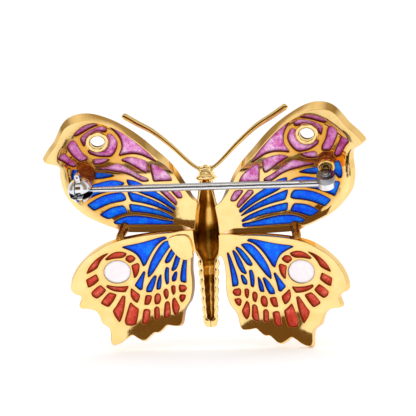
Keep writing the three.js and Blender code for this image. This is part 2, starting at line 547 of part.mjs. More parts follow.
// ---- antennae: round wire growing towards the tip ----
const ANTENNA = [[0.8, 1.1, 5.9], [2.1, 1.2, 6.85], [4.65, 1.45, 9.3], [7.2, 1.65, 11.4], [9.5, 1.8, 12.75],
  [11.5, 1.9, 13.95]];
const ANTENNA_RADII = [0.24, 0.28, 0.32, 0.38, 0.43, 0.45];
for (const side of [-1, 1]) {
  const points = ANTENNA.map(([x, y, z]) => new THREE.Vector3(side * x, y, z));
  const wire = rod(points, ANTENNA_RADII, 8, 10);
  const socket = rod(points, ANTENNA_RADII.map((r) => r + GAP), 8, 10);
  headSolid = headSolid.subtract(toSolid(socket));
  add(side < 0 ? 'antenna_left' : 'antenna_right', wire, gold());
}
add('head', fromSolid(headSolid), gold());

// ---- wings: pierced frames, the enamel behind the piercing, stones and rings ----
const eyeHole = oval(EYE_RING, EYE_RING_INNER, EYE_RING_INNER * 0.84, 16);
const stoneHole = oval(STONE, STONE_RADII[0] + GAP, STONE_RADII[1] + GAP, 20);
const PANEL_FROM = LATTICE + 0.16;

function frame(outline, border, cells) {
  const lattice = toSolid(plate(outline, cells, 0, LATTICE));
  const rim = toSolid(plate(outline, [border], LATTICE * 0.6, RIM));
  return indexed(fromSolid(lattice.add(rim)));
}

// Moves a line or a closed loop to its left by the given distance.
function offset(points, distance, closed) {
  return points.map((p, i) => {
    const before = points[i - 1] ?? (closed ? points[points.length - 1] : p);
    const after = points[i + 1] ?? (closed ? points[0] : p);
    const a = new THREE.Vector2(p[0] - before[0], p[1] - before[1]).normalize();
    const b = new THREE.Vector2(after[0] - p[0], after[1] - p[1]).normalize();
    const n = new THREE.Vector2(-(a.y + b.y), a.x + b.x).normalize();
    return [p[0] + distance * n.x, p[1] + distance * n.y];
  });
}

// The part of the panel on one side of the seam, a small gap left along it.
function half(border, seam, above) {
  const inset = plate(border, [], PANEL_FROM, PANEL_FROM + ENAMEL);
  const heading = Math.sign(seam[seam.length - 1][0] - seam[0][0]);
  const cut = offset(seam, (above ? 1 : -1) * heading * 0.7 * GAP, false);
  const far = above ? 30 : -30;
  const first = cut[0];
  const last = cut[cut.length - 1];
  const block = [
    [first[0] - 30 * heading, first[1]],
    ...cut,
    [last[0] + 30 * heading, last[1]],
    [last[0] + 30 * heading, far],
    [first[0] - 30 * heading, far],
  ];
  return toSolid(inset).intersect(toSolid(plate(block, [], 0, 3)));
}

const foreFrame = frame(FORE_OUTLINE, FORE_BORDER, [...FORE_PINK, ...FORE_BLUE, eyeHole]);
const hindFrame = frame(HIND_OUTLINE, HIND_BORDER, [...HIND_BLUE, ...HIND_RED, stoneHole]);
const forePanelBorder = offset(FORE_BORDER, -GAP, true);
const hindPanelBorder = offset(HIND_BORDER, -GAP, true);
const eyeClear = toSolid(plate(oval(EYE_RING, 1.1, 0.95, 16), [], 0, 3));
const stoneClear = toSolid(plate(oval(STONE, STONE_RADII[0] + 0.12, STONE_RADII[1] + 0.12, 20), [], 0, 3));
const panels = {
  pink: half(forePanelBorder, FORE_SEAM, true).subtract(eyeClear),
  fore_blue: half(forePanelBorder, FORE_SEAM, false),
  hind_blue: half(hindPanelBorder, HIND_SEAM, true).subtract(stoneClear),
  red: half(hindPanelBorder, HIND_SEAM, false).subtract(stoneClear),
};
const wings = {};
for (const side of [-1, 1]) {
  const tag = side < 0 ? 'left' : 'right';
  const fore = bend(divide(foreFrame, LONGEST_EDGE), foreDepth, side);
  const hind = bend(divide(hindFrame, LONGEST_EDGE), hindDepth, side);
  wings[`fore_${tag}`] = toSolid(fore).subtract(bodyCutter);
  wings[`hind_${tag}`] = toSolid(hind).subtract(bodyCutter);
  add(`forewing_frame_${tag}`, fromSolid(wings[`fore_${tag}`]), gold());
  add(`hindwing_frame_${tag}`, fromSolid(wings[`hind_${tag}`]), gold());

  const panel = (name, solid, depth, colour) => {
    const g = bend(divide(indexed(fromSolid(solid)), LONGEST_EDGE), depth, side);
    add(`${name}_${tag}`, g, enamel(colour));
  };
  panel('enamel_pink', panels.pink, foreDepth, 0xc85ab4);
  panel('enamel_fore_blue', panels.fore_blue, foreDepth, 0x0050f0);
  panel('enamel_hind_blue', panels.hind_blue, hindDepth, 0x0050f0);
  panel('enamel_red', panels.red, hindDepth, 0xc83c44);

  // Raised ring round the see-through eye of the forewing.
  const ringOuter = oval(EYE_RING, EYE_RING_OUTER, EYE_RING_OUTER * 0.84, 20);
  const ringInner = oval(EYE_RING, EYE_RING_INNER, EYE_RING_INNER * 0.84, 20);
  const ring = plate(ringOuter, [ringInner], -0.3, -0.04);
  add(`eye_ring_${tag}`, bend(ring, foreDepth, side), gold());

  // White stone filling the oval seat of the hindwing, domed to the front.
  const stone = [];
  const stoneFaces = [];
  const levels = [[0.12, 0.55], [0.08, 0.85], [0.16, 1], [0.95, 1], [1.2, 0.8], [1.32, 0.45]];
  const around = 16;
  for (const [w, share] of levels) {
    for (const [u, v] of oval(STONE, STONE_RADII[0] * share, STONE_RADII[1] * share, around)) {
      stone.push(u, v, w);
    }
  }
  for (let r = 0; r < levels.length - 1; r += 1) {
    for (let k = 0; k < around; k += 1) {
      const a = r * around + k;
      const b = r * around + ((k + 1) % around);
      stoneFaces.push(a, b, a + around, b, b + around, a + around);
    }
  }
  const centreBack = stone.length / 3;
  stone.push(STONE[0], STONE[1], 0.14);
  const centreFront = stone.length / 3;
  stone.push(STONE[0], STONE[1], 1.38);
  for (let k = 0; k < around; k += 1) {
    const next = (k + 1) % around;
    const last = (levels.length - 1) * around;
    stoneFaces.push(centreBack, next, k, centreFront, last + k, last + next);
  }
  const stoneGeometry = new THREE.BufferGeometry();
  stoneGeometry.setAttribute('position', new THREE.BufferAttribute(new Float32Array(stone), 3));
  stoneGeometry.setIndex(stoneFaces);
  add(`white_eye_${tag}`, bend(stoneGeometry, hindDepth, side), enamel(0xeee4ea));

  // Short strut joining the two wings of this side.
  const top = wingPoint(foreDepth, side, 11.9, -2.12, 0.6);
  const bottom = wingPoint(hindDepth, side, 12.1, -3.75, 0.6);
  const strut = toSolid(rod([top, top.clone().lerp(bottom, 0.5), bottom], [0.55, 0.48, 0.55], 10, 4));
  const clear = (solid, wing, dz) => solid.subtract(wing).subtract(wing.translate([0, 0, dz]));
  let trimmed = clear(strut, wings[`fore_${tag}`], -GAP);
  trimmed = clear(trimmed, wings[`hind_${tag}`], GAP);
  const pieces = trimmed.decompose();
  pieces.sort((p, q) => q.volume() - p.volume());
  add(`strut_${tag}`, fromSolid(pieces[0]), gold());
}

// ---- blank plaque soldered on the left hindwing root ----
const plaqueFlat = divide(plate(PLAQUE, [], -0.42, -GAP), 1.5);
const plaque = toSolid(bend(plaqueFlat, hindDepth, -1)).subtract(bodyCutter);
add('plaque', fromSolid(plaque), gold());

// ---- solid ground under a finding: everything in front of the wing's back face ----
function ground(side, u, v) {
  const patch = [[u - 2.2, v - 2.6], [u + 2.2, v - 2.6], [u + 2.2, v + 2.6], [u - 2.2, v + 2.6]];
  return toSolid(bend(divide(plate(patch, [], -0.04, 3), 0.9), foreDepth, side));
}

// ---- hinge on the right forewing ----
const HINGE_V = 6.45;
const hingeBase = wingPoint(foreDepth, 1, FINDING_X, HINGE_V, 0);
const PAD_TOP = 0.4;
const COLLAR_TOP = 1.5;
const KNUCKLE_AT = 3.55;      // height of the rivet above the wing
const KNUCKLE_HALF = 0.45;    // half thickness of the fixed knuckle
const EYE_THICK = 0.9;        // thickness of the stem's eye
const from = (base, out, up) => base.clone().addScaledVector(OUT, out).addScaledVector(UP, up);

const padCylinder = new THREE.CylinderGeometry(1.12, 1.2, PAD_TOP + 1.2, 20);
const hingePad = toSolid(turned(padCylinder, OUT, from(hingeBase, (PAD_TOP - 1.2) / 2, 0)));
add('hinge_pad', fromSolid(hingePad.subtract(ground(1, FINDING_X, HINGE_V))), gold());

const collarProfile = [[0, PAD_TOP + 0.03], [0.85, PAD_TOP + 0.03], [1.0, 0.7], [1.12, 1.0],
  [1.15, 1.25], [1.05, COLLAR_TOP], [0.62, COLLAR_TOP], [0.6, 1.2], [0, 1.2]];
const collar = new THREE.LatheGeometry(collarProfile.map(([r, h]) => new THREE.Vector2(r, h)), 20);
add('hinge_collar', outward(indexed(turned(collar, OUT, hingeBase))), gold());

const knuckleCentre = from(hingeBase, KNUCKLE_AT, 0);
const knuckleDisc = new THREE.CylinderGeometry(KNUCKLE_RADIUS, KNUCKLE_RADIUS, 2 * KNUCKLE_HALF, 18);
let knuckle = toSolid(turned(knuckleDisc, UP, knuckleCentre));
const neck = new THREE.CylinderGeometry(0.44, 0.44, KNUCKLE_AT - 0.7 - 1.24, 16);
knuckle = knuckle.add(toSolid(turned(neck, OUT, from(hingeBase, (1.24 + KNUCKLE_AT - 0.7) / 2, 0))));
const bore = new THREE.CylinderGeometry(RIVET_RADIUS + 0.04, RIVET_RADIUS + 0.04, 4, 12);
knuckle = knuckle.subtract(toSolid(turned(bore, UP, knuckleCentre)));
add('hinge_knuckle', fromSolid(knuckle), whiteMetal());

const EYE_MIDDLE = -KNUCKLE_HALF - 0.05 - EYE_THICK / 2;
const pivot = from(hingeBase, KNUCKLE_AT, EYE_MIDDLE);
const rivetTop = KNUCKLE_HALF + 0.04;
const rivetEnd = EYE_MIDDLE - EYE_THICK / 2 - 0.04;
const rivetProfile = [[0, rivetEnd - 0.22], [0.5, rivetEnd - 0.2], [0.56, rivetEnd],
  [RIVET_RADIUS, rivetEnd], [RIVET_RADIUS, rivetTop], [0.66, rivetTop], [0.62, rivetTop + 0.2],
  [0.35, rivetTop + 0.32], [0, rivetTop + 0.36]];
const rivet = new THREE.LatheGeometry(rivetProfile.map(([r, h]) => new THREE.Vector2(r, h)), 12);
add('hinge_rivet', outward(indexed(turned(rivet, UP, knuckleCentre))), whiteMetal());

// ---- catch on the left forewing: a ball case with a rotor turning in its track ----
const CATCH_V = 5.43;
const catchBase = wingPoint(foreDepth, -1, FINDING_X, CATCH_V, 0);
const CATCH_AT = (catchBase.y - pivot.y) / Math.cos(FINDING_TILT);
const catchCentre = from(catchBase, CATCH_AT, 0);

const catchPadShape = new THREE.CylinderGeometry(1.2, 1.35, 1.6, 20);
const catchPad = toSolid(turned(catchPadShape, OUT, from(catchBase, -0.4, 0)));
add('catch_pad', fromSolid(catchPad.subtract(ground(-1, FINDING_X, CATCH_V))), gold());

// Case: x across, y outwards, z up, measured from the centre of the ball.
const origin = new THREE.Vector3();
let catchCase = toSolid(new THREE.SphereGeometry(CATCH_RADIUS, 20, 14));
const post = new THREE.CylinderGeometry(0.9, 0.9, CATCH_AT - 0.43 - 1.45, 18);
post.translate(0, -(CATCH_AT - 0.43 + 1.45) / 2, 0);
catchCase = catchCase.add(toSolid(post));
const trackRound = new THREE.CylinderGeometry(ROTOR_RADIUS + 0.06, ROTOR_RADIUS + 0.06, 2 * TRACK_HALF, 20);
catchCase = catchCase.subtract(toSolid(turned(trackRound, ACROSS, origin)));
catchCase = catchCase.subtract(toSolid(box(-TRACK_HALF, TRACK_HALF, -0.55, 3, -3, 3)));
const STEM_SLOT = 0.46;
catchCase = catchCase.subtract(toSolid(box(-1.35, 3, 0, 3, -STEM_SLOT, STEM_SLOT)));
const slotFloor = new THREE.CylinderGeometry(STEM_SLOT, STEM_SLOT, 4.35, 18);
catchCase = catchCase.subtract(toSolid(turned(slotFloor, ACROSS, new THREE.Vector3(0.825, 0, 0))));
add('catch_case', asFinding(fromSolid(catchCase), catchCentre), whiteMetal());

// Rotor: a slotted ring with a pierced thumb tab.
const rotorHalf = TRACK_HALF - 0.06;
const rotorDisc = new THREE.CylinderGeometry(ROTOR_RADIUS, ROTOR_RADIUS, 2 * rotorHalf, 20);
let rotor = toSolid(turned(rotorDisc, ACROSS, origin));
const rotorBore = new THREE.CylinderGeometry(ROTOR_BORE, ROTOR_BORE, 3, 14);
rotor = rotor.subtract(toSolid(turned(rotorBore, ACROSS, origin)));
rotor = rotor.subtract(toSolid(box(-3, 3, 0, 3, -0.5, 0.5)));
rotor = rotor.add(toSolid(box(-0.34, 0.34, -0.32, 0.28, 1.1, 2.35)));
const tabEnd = new THREE.CylinderGeometry(0.34, 0.34, 0.6, 16);
tabEnd.translate(0, -0.02, 2.35);
rotor = rotor.add(toSolid(tabEnd));
const eyelet = new THREE.CylinderGeometry(0.17, 0.17, 2, 12);
eyelet.translate(0, 0, 2.25);
rotor = rotor.subtract(toSolid(eyelet));
add('catch_rotor', asFinding(fromSolid(rotor), catchCentre), whiteMetal());

// ---- pin stem: tapered wire with a flat eye on the rivet ----
const along = catchCentre.clone().sub(pivot);
const reach = along.length();
const direction = along.clone().normalize();
const stemProfile = [[0, 0], [STEM_RADIUS, 0], [STEM_RADIUS, 0.72 * reach], [0.44, 0.82 * reach],
  [0.36, reach - 1.9], [STEM_TIP_RADIUS + 0.02, reach], [0.26, reach + 0.9],
  [0.12, reach + 1.12], [0, reach + 1.16]];
const stemShape = new THREE.LatheGeometry(stemProfile.map(([r, h]) => new THREE.Vector2(r, h)), 12);
let stem = toSolid(turned(stemShape, direction, pivot));
const stemEye = new THREE.CylinderGeometry(1.12, 1.12, EYE_THICK, 18);
stem = stem.add(toSolid(turned(stemEye, UP, pivot)));
const level = new THREE.CylinderGeometry(3.5, 3.5, 2, 24);
stem = stem.subtract(toSolid(turned(level, UP, from(pivot, 0, EYE_THICK / 2 + 1))));
stem = stem.subtract(toSolid(turned(level, UP, from(pivot, 0, -EYE_THICK / 2 - 1))));
stem = stem.subtract(toSolid(turned(bore, UP, pivot)));
add('pin_stem', fromSolid(stem), whiteMetal());

export default group;
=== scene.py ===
"""Looks of the gold butterfly brooch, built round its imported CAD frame.

The butterfly is described in millimetres with +Z from tail to head and the pin side
facing -Y; MM and SHIFT bring those points to the frame, whose origin is the middle of
the pin stem.
"""
import math

import bpy
import numpy as np
from mathutils import Matrix, Vector
from mathutils.geometry import delaunay_2d_cdt


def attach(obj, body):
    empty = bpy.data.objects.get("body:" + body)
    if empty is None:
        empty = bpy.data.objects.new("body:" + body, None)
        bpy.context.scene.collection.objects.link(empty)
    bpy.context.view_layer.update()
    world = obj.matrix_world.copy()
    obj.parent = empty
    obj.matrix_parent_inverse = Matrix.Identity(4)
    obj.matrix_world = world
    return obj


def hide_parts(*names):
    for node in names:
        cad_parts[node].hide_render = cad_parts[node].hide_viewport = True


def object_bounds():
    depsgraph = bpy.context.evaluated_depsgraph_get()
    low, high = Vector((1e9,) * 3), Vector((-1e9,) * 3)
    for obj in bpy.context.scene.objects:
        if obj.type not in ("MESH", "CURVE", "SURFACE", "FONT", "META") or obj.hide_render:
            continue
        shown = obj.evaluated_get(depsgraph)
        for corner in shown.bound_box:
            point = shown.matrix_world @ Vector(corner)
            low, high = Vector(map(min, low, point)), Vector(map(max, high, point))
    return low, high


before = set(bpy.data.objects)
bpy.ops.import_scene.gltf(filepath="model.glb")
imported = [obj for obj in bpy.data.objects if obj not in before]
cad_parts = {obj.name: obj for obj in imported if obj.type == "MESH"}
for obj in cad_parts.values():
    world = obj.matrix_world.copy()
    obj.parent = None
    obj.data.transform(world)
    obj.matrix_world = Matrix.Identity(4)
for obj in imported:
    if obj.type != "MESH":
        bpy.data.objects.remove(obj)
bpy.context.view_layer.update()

MM = 0.001
SHIFT = Vector((0.0, 2.9, -3.5))        # from the butterfly's own origin to the frame's, in mm
SIDES = ((-1, "left"), (1, "right"))
LIFT = 0.37                   # the left pair of wings sits higher, the right pair lower
DROOP = 1.2                   # the tip of the left forewing hangs this much lower
THICK = 1.1                   # thickness of the wings, cell walls included
EDGE = 0.07                   # rounding of polished edges
PAINTED_WALL_SHADE = (0.1, 0.6, 1.0, 1.0, 0.45, 0.0)    # painted shade on a cell wall, how dark from back to front
PAINTED_RIM_SHADE = 0.12               # painted shade on the outer wall of a plate
ENAMEL_BACK = 0.5             # the enamel lies this far in front of the wing's back
ENAMEL_FRONT = THICK - 0.04   # and so far its front face
ENAMEL_CLIMB = 0.36           # how far it climbs its cell walls at the back
EYE_RING = (14.3, 10.0)       # middle of the forewing's open eye
EYE_SQUASH = 0.84             # its height for its width
STONE = (12.7, -8.1)          # middle of the hindwing's white eye
FINDING_X = 16.7              # hinge and catch stand this far out, at these heights
HINGE_V = 6.45
CATCH_V = 5.43
PAD_DEPTH = 0.85              # the solder pads end this deep in the wing
TILT = math.radians(36)       # both findings lean down by this much
OUT = Vector((0, -math.cos(TILT), -math.sin(TILT)))
UP = Vector((0, -math.sin(TILT), math.cos(TILT)))
ACROSS = Vector((1, 0, 0))


def fore_depth(u, v):
    """Where the back face of a forewing lies, along +Y."""
    return 0.30 * u - 0.016 * u * u + 0.05 * v - 0.035 * v * v


def hind_depth(u, v):
    """The same for a hindwing. Its tail curls towards -Y."""
    curl = 0.0208 * np.maximum(0, -11.8 - v) ** 2
    return -1.8 + 0.26 * u - 0.02 * u * u - 0.17 * v - 0.006 * v * v - curl


# ---- outlines and openings of one side, (u, v) in mm, u outwards and v up ----
FORE_OUTLINE = [
    (1.7, -2.9), (1.62, -1.9), (1.5, -0.6), (1.32, 0.4), (1.22, 1.2), (1.9, 1.5), (2.35, 2.1), (2.8, 3.0),
    (3.5, 4.15), (4.1, 5.3), (5.1, 6.55), (6.5, 7.9), (8.1, 9.5), (9.55, 10.75), (11.2, 11.85),
    (12.9, 12.75), (14.3, 13.35), (15.75, 13.6), (17.0, 13.45), (17.9, 13.05), (18.6, 12.4), (19.2, 11.65),
    (19.9, 10.7), (20.7, 10.0), (21.35, 9.3), (21.85, 8.6), (21.5, 8.15), (21.0, 7.95), (20.4, 7.7),
    (20.1, 7.3), (20.0, 6.6), (20.1, 5.6), (20.15, 4.5), (20.0, 3.4), (19.7, 2.5), (19.1, 1.7),
    (18.35, 0.8), (17.3, -0.15), (16.2, -0.8), (15.1, -1.3), (14.2, -1.7), (13.3, -2.0), (12.2, -2.2),
    (10.5, -2.3), (8.5, -2.35), (6.0, -2.4), (3.5, -2.35), (2.4, -2.4), (2.15, -2.9),
]
FORE_PINK = [
    [(6.5, 6.7), (7.6, 8.1), (9.1, 9.5), (10.6, 10.7), (12.2, 11.7), (11.4, 10.6), (11.1, 9.8), (11.1, 8.9),
     (11.8, 7.8), (10.9, 8.0), (9.7, 8.1), (8.6, 7.9), (7.5, 7.3)],
    [(12.4, 10.8), (12.9, 10.6), (12.72, 9.9), (12.95, 9.2), (13.45, 8.7), (14.1, 8.52), (14.9, 8.7),
     (15.8, 9.2), (15.7, 8.75), (15.0, 8.25), (14.1, 7.9), (12.9, 7.8), (12.3, 8.3), (11.8, 9.1),
     (11.7, 9.8), (12.0, 10.4)],
    [(12.7, 11.4), (13.0, 11.75), (13.65, 11.85), (14.3, 11.75), (15.1, 11.55), (15.8, 11.25), (16.4, 10.8),
     (16.35, 10.3), (16.15, 9.75), (15.95, 10.1), (15.75, 10.55), (15.3, 10.95), (14.7, 11.2),
     (14.05, 11.3), (13.4, 11.2), (12.9, 11.1)],
    [(13.6, 12.2), (14.35, 12.4), (15.3, 12.35), (16.2, 12.1), (16.8, 11.75), (17.05, 11.3), (16.5, 11.35),
     (15.65, 11.65), (14.9, 11.9), (14.2, 12.05)],
    [(17.4, 10.85), (17.9, 10.65), (18.35, 10.0), (18.15, 9.4), (17.75, 8.6), (17.15, 7.7), (16.1, 7.8),
     (16.2, 8.4), (16.75, 9.2), (16.95, 9.95), (17.1, 10.45)],
    [(18.85, 9.4), (19.45, 9.15), (19.8, 8.8), (19.2, 8.25), (18.85, 7.6), (18.45, 7.0), (18.0, 6.85),
     (17.65, 7.1), (17.9, 7.8), (18.4, 8.6)],
    [(13.15, 7.45), (14.2, 7.65), (15.25, 7.7), (15.45, 6.95), (14.65, 6.85), (13.85, 7.0)],
    [(8.1, 7.0), (9.1, 7.35), (10.05, 7.55), (10.85, 7.5), (11.6, 7.2), (10.7, 6.8), (9.7, 6.2), (8.8, 5.6),
     (8.25, 5.35), (8.05, 5.9)],
    [(8.0, 4.3), (8.2, 4.6), (9.0, 4.95), (10.25, 5.7), (11.4, 6.4), (12.15, 6.75), (12.85, 6.6),
     (13.8, 6.3), (14.9, 6.2), (14.95, 6.0), (13.75, 5.95), (12.65, 5.7), (11.65, 5.55), (10.5, 5.15),
     (9.8, 4.7), (8.95, 4.2)],
    [(4.65, 4.2), (5.05, 5.0), (5.95, 5.8), (7.1, 6.5), (7.55, 6.6), (7.55, 5.95), (7.45, 5.1), (7.35, 4.2)],
    [(3.35, 1.75), (3.55, 2.35), (4.1, 3.1), (5.15, 3.1), (4.6, 2.35), (4.0, 1.7)],
    [(4.15, 1.05), (4.5, 1.65), (5.2, 2.4), (5.85, 3.1), (6.4, 3.05), (6.5, 2.75), (6.0, 2.25), (5.2, 1.5),
     (4.35, 0.75)],
]
FORE_BLUE = [
    [(4.45, 0.4), (5.4, 1.35), (6.65, 2.35), (8.1, 3.2), (9.8, 4.3), (11.2, 4.55), (11.0, 3.8), (10.0, 3.0),
     (9.0, 2.5), (7.5, 1.9), (6.1, 1.1), (4.55, 0.05)],
    [(4.6, -0.4), (5.65, 0.5), (6.75, 1.15), (8.15, 1.8), (9.55, 2.4), (11.2, 2.9), (11.05, 2.25),
     (10.75, 1.6), (9.2, 1.3), (7.55, 0.8), (6.05, 0.2)],
    [(4.75, -1.0), (5.6, -0.4), (6.95, 0.15), (8.35, 0.6), (9.75, 0.95), (11.1, 1.15), (10.95, 0.15),
     (9.75, 0.0), (8.35, -0.2), (6.95, -0.5), (5.6, -0.95), (4.8, -1.2)],
    [(4.8, -1.45), (6.0, -1.3), (7.65, -0.9), (9.15, -0.6), (10.5, -0.45), (11.6, -0.5), (12.55, -0.75),
     (13.4, -1.2), (13.1, -1.5), (12.15, -1.6), (10.9, -1.65), (9.1, -1.7), (7.0, -1.8), (4.9, -1.85)],
    [(12.8, 5.15), (13.9, 5.5), (15.1, 5.6), (16.5, 5.9), (17.6, 6.1), (18.25, 6.4), (18.5, 5.7),
     (18.65, 4.8), (18.5, 4.2), (18.1, 4.15), (17.6, 4.8), (16.5, 4.9), (15.1, 4.8), (14.0, 4.9)],
    [(11.55, 4.1), (12.5, 4.45), (13.6, 4.5), (14.6, 4.3), (16.0, 4.0), (17.3, 3.7), (18.25, 3.6),
     (18.0, 2.95), (17.5, 1.8), (16.65, 2.2), (15.3, 2.75), (13.9, 3.05), (12.5, 3.4)],
    [(11.5, 1.85), (11.7, 2.45), (12.05, 2.8), (13.25, 2.75), (14.6, 2.5), (15.85, 1.95), (16.9, 1.3),
     (16.45, 0.85), (16.05, 0.5), (15.25, 0.85), (14.15, 1.3), (12.9, 1.55), (12.0, 1.65)],
    [(11.4, 0.0), (11.7, 0.65), (12.0, 1.0), (13.05, 0.9), (13.85, 0.7), (14.65, 0.3), (15.25, -0.1),
     (14.65, -0.5), (14.1, -0.75), (13.3, -0.5), (12.45, -0.2)],
]

HIND_OUTLINE = [
    (1.52, -5.5), (1.68, -4.6), (1.76, -3.6), (1.76, -2.7), (2.5, -2.72), (4.5, -2.75), (6.9, -2.85),
    (9.0, -3.05), (10.85, -3.3), (12.6, -3.65), (14.0, -4.1), (15.15, -4.75), (16.2, -5.55), (17.0, -6.3),
    (17.7, -7.1), (18.35, -8.25), (18.7, -9.3), (18.8, -10.3), (18.4, -10.85), (17.65, -11.1),
    (17.5, -11.5), (17.75, -12.1), (17.9, -12.6), (17.65, -12.9), (16.65, -13.0), (15.9, -13.3),
    (15.45, -13.8), (15.2, -14.5), (15.05, -15.1), (14.6, -15.4), (14.05, -15.8), (13.9, -16.4),
    (13.9, -17.6), (13.65, -18.05), (13.1, -18.05), (12.35, -17.75), (11.75, -17.3), (11.0, -16.85),
    (10.4, -17.3), (9.6, -17.75), (9.1, -17.65), (8.6, -17.2), (8.0, -16.65), (7.4, -16.75), (6.9, -16.4),
    (6.2, -15.7), (5.2, -15.9), (4.4, -15.9), (4.05, -15.5), (3.9, -14.7), (3.75, -13.8), (3.3, -13.1),
    (2.8, -12.5), (2.5, -11.6), (2.35, -10.7), (2.3, -9.5), (2.42, -8.3), (2.35, -7.35), (2.25, -6.35),
    (2.0, -5.75), (1.5, -5.55),
]
HIND_BLUE = [
    [(5.5, -3.75), (5.8, -3.45), (6.7, -3.6), (7.85, -3.9), (9.55, -4.3), (11.4, -4.55), (11.9, -4.7),
     (10.8, -5.2), (10.0, -5.7), (9.5, -6.45), (9.15, -7.5), (8.8, -7.3), (8.2, -6.2), (7.55, -5.2),
     (6.8, -4.4), (6.1, -3.95)],
    [(4.65, -4.2), (5.25, -4.05), (6.0, -4.15), (6.7, -4.8), (7.5, -5.9), (8.2, -7.15), (8.6, -8.5),
     (8.55, -9.1), (7.95, -8.6), (7.15, -7.5), (6.2, -6.1), (5.45, -5.2)],
    [(3.9, -4.7), (4.05, -4.45), (4.6, -4.75), (5.25, -5.5), (5.8, -6.35), (6.1, -6.95), (5.95, -7.2),
     (5.4, -7.05), (4.8, -6.2), (4.25, -5.3)],
    [(3.45, -5.05), (3.65, -4.9), (4.1, -5.45), (4.6, -6.45), (4.95, -7.45), (5.25, -8.15), (5.05, -8.3),
     (4.5, -8.0), (4.05, -7.1), (3.75, -6.05)],
    [(2.72, -5.35), (2.85, -5.15), (3.1, -5.65), (3.5, -7.0), (3.85, -8.15), (4.05, -9.4), (3.95, -9.8),
     (3.2, -9.95), (3.15, -8.85), (2.98, -7.2)],
    [(8.9, -8.3), (9.1, -8.15), (9.8, -9.1), (10.5, -10.1), (9.8, -10.8), (9.45, -10.7), (9.3, -9.7)],
    [(7.35, -8.9), (7.65, -8.8), (8.3, -9.55), (8.9, -10.55), (8.95, -11.1), (8.2, -11.1), (7.75, -10.25)],
    [(6.7, -8.65), (7.0, -8.95), (7.4, -9.85), (7.5, -10.8), (6.95, -10.75), (6.75, -10.0)],
    [(5.55, -7.8), (5.95, -7.7), (6.2, -8.4), (6.25, -9.4), (6.05, -10.15), (5.7, -9.95), (5.65, -8.95)],
    [(4.4, -8.35), (4.75, -8.4), (5.25, -9.2), (5.2, -9.75), (4.7, -9.65), (4.45, -8.95)],
]
HIND_RED = [
    [(13.7, -5.4), (14.35, -5.6), (15.1, -6.0), (15.8, -6.6), (16.4, -7.3), (16.75, -8.15), (16.05, -7.85),
     (15.3, -7.4), (15.0, -6.7), (14.55, -6.1)],
    [(11.25, -5.6), (11.85, -5.35), (12.75, -5.3), (13.6, -5.7), (14.25, -6.3), (13.95, -6.4),
     (13.05, -6.2), (12.05, -6.2), (11.55, -6.0)],
    [(10.1, -6.3), (10.65, -5.85), (11.3, -5.95), (11.55, -6.45), (10.95, -6.95), (10.4, -6.7)],
    [(9.65, -7.2), (9.9, -7.0), (10.75, -7.3), (10.6, -8.25), (10.5, -9.1), (10.1, -8.8), (9.75, -8.1)],
    [(15.5, -8.25), (16.15, -8.6), (16.85, -8.95), (16.65, -10.05), (15.95, -9.75), (15.2, -9.1)],
    [(15.05, -9.8), (15.7, -10.2), (16.3, -10.8), (16.15, -11.3), (15.6, -11.65), (14.95, -11.2),
     (14.35, -10.55)],
    [(13.0, -11.25), (13.9, -10.9), (14.5, -11.4), (15.15, -12.3), (14.7, -12.65), (14.15, -12.9),
     (13.5, -12.15)],
    [(11.85, -11.55), (12.2, -11.45), (12.7, -12.2), (13.2, -13.0), (13.6, -13.45), (13.4, -14.15),
     (12.75, -15.1), (12.35, -14.25), (12.0, -12.8)],
    [(11.3, -10.15), (12.25, -10.2), (13.35, -10.1), (14.2, -9.85), (14.3, -10.1), (13.6, -10.65),
     (12.7, -10.9), (11.8, -10.95)],
    [(9.85, -11.45), (10.45, -10.95), (11.0, -10.45), (11.15, -11.45), (10.8, -12.2), (10.25, -12.55),
     (9.95, -11.95)],
    [(10.1, -13.4), (10.65, -13.0), (11.2, -12.4), (11.4, -12.9), (11.75, -13.9), (12.05, -14.95),
     (11.85, -15.5), (11.1, -15.65), (10.55, -15.45), (10.3, -14.55)],
    [(8.2, -11.65), (8.6, -11.55), (9.05, -11.55), (9.2, -12.15), (9.3, -12.85), (8.7, -12.85),
     (8.35, -12.35)],
    [(7.05, -11.45), (7.45, -11.3), (7.8, -11.65), (7.9, -12.4), (7.75, -12.85), (7.2, -12.75), (6.9, -12.1)],
    [(5.9, -10.85), (6.15, -10.7), (6.5, -10.95), (6.55, -11.45), (6.25, -12.2), (5.95, -12.0), (5.8, -11.4)],
    [(4.8, -10.4), (5.05, -10.25), (5.4, -10.4), (5.4, -11.1), (5.15, -11.65), (4.85, -11.3)],
    [(3.15, -10.7), (3.4, -10.3), (4.2, -10.2), (4.35, -10.65), (4.2, -11.2), (3.5, -11.2)],
    [(8.5, -13.65), (8.95, -13.45), (9.4, -13.5), (9.6, -14.4), (9.7, -15.45), (9.2, -15.55), (8.7, -15.15)],
    [(7.25, -13.3), (7.65, -13.15), (7.95, -13.45), (7.95, -14.9), (7.5, -15.0), (7.2, -14.65)],
    [(5.75, -12.6), (6.05, -12.45), (6.4, -12.7), (6.55, -13.6), (6.65, -14.75), (6.0, -14.7), (5.65, -14.2)],
    [(5.0, -11.95), (5.3, -12.2), (5.45, -13.1), (5.3, -13.95), (4.95, -14.5), (4.6, -14.1), (4.3, -13.3),
     (4.65, -12.6)],
    [(3.35, -11.65), (4.1, -11.55), (4.35, -11.9), (4.15, -12.55), (3.9, -12.6), (3.55, -12.25)],
]
PLAQUE = [
    (5.3, -3.6), (4.3, -3.25), (2.75, -3.25), (2.1, -3.9), (1.86, -5.3), (1.9, -6.3), (2.5, -6.75),
    (3.4, -6.75), (4.2, -6.15), (4.85, -5.3), (5.3, -4.4),
]


# ---- helpers for shapes ----
def smoothstep(x):
    x = np.clip(x, 0, 1)
    return x * x * (3 - 2 * x)


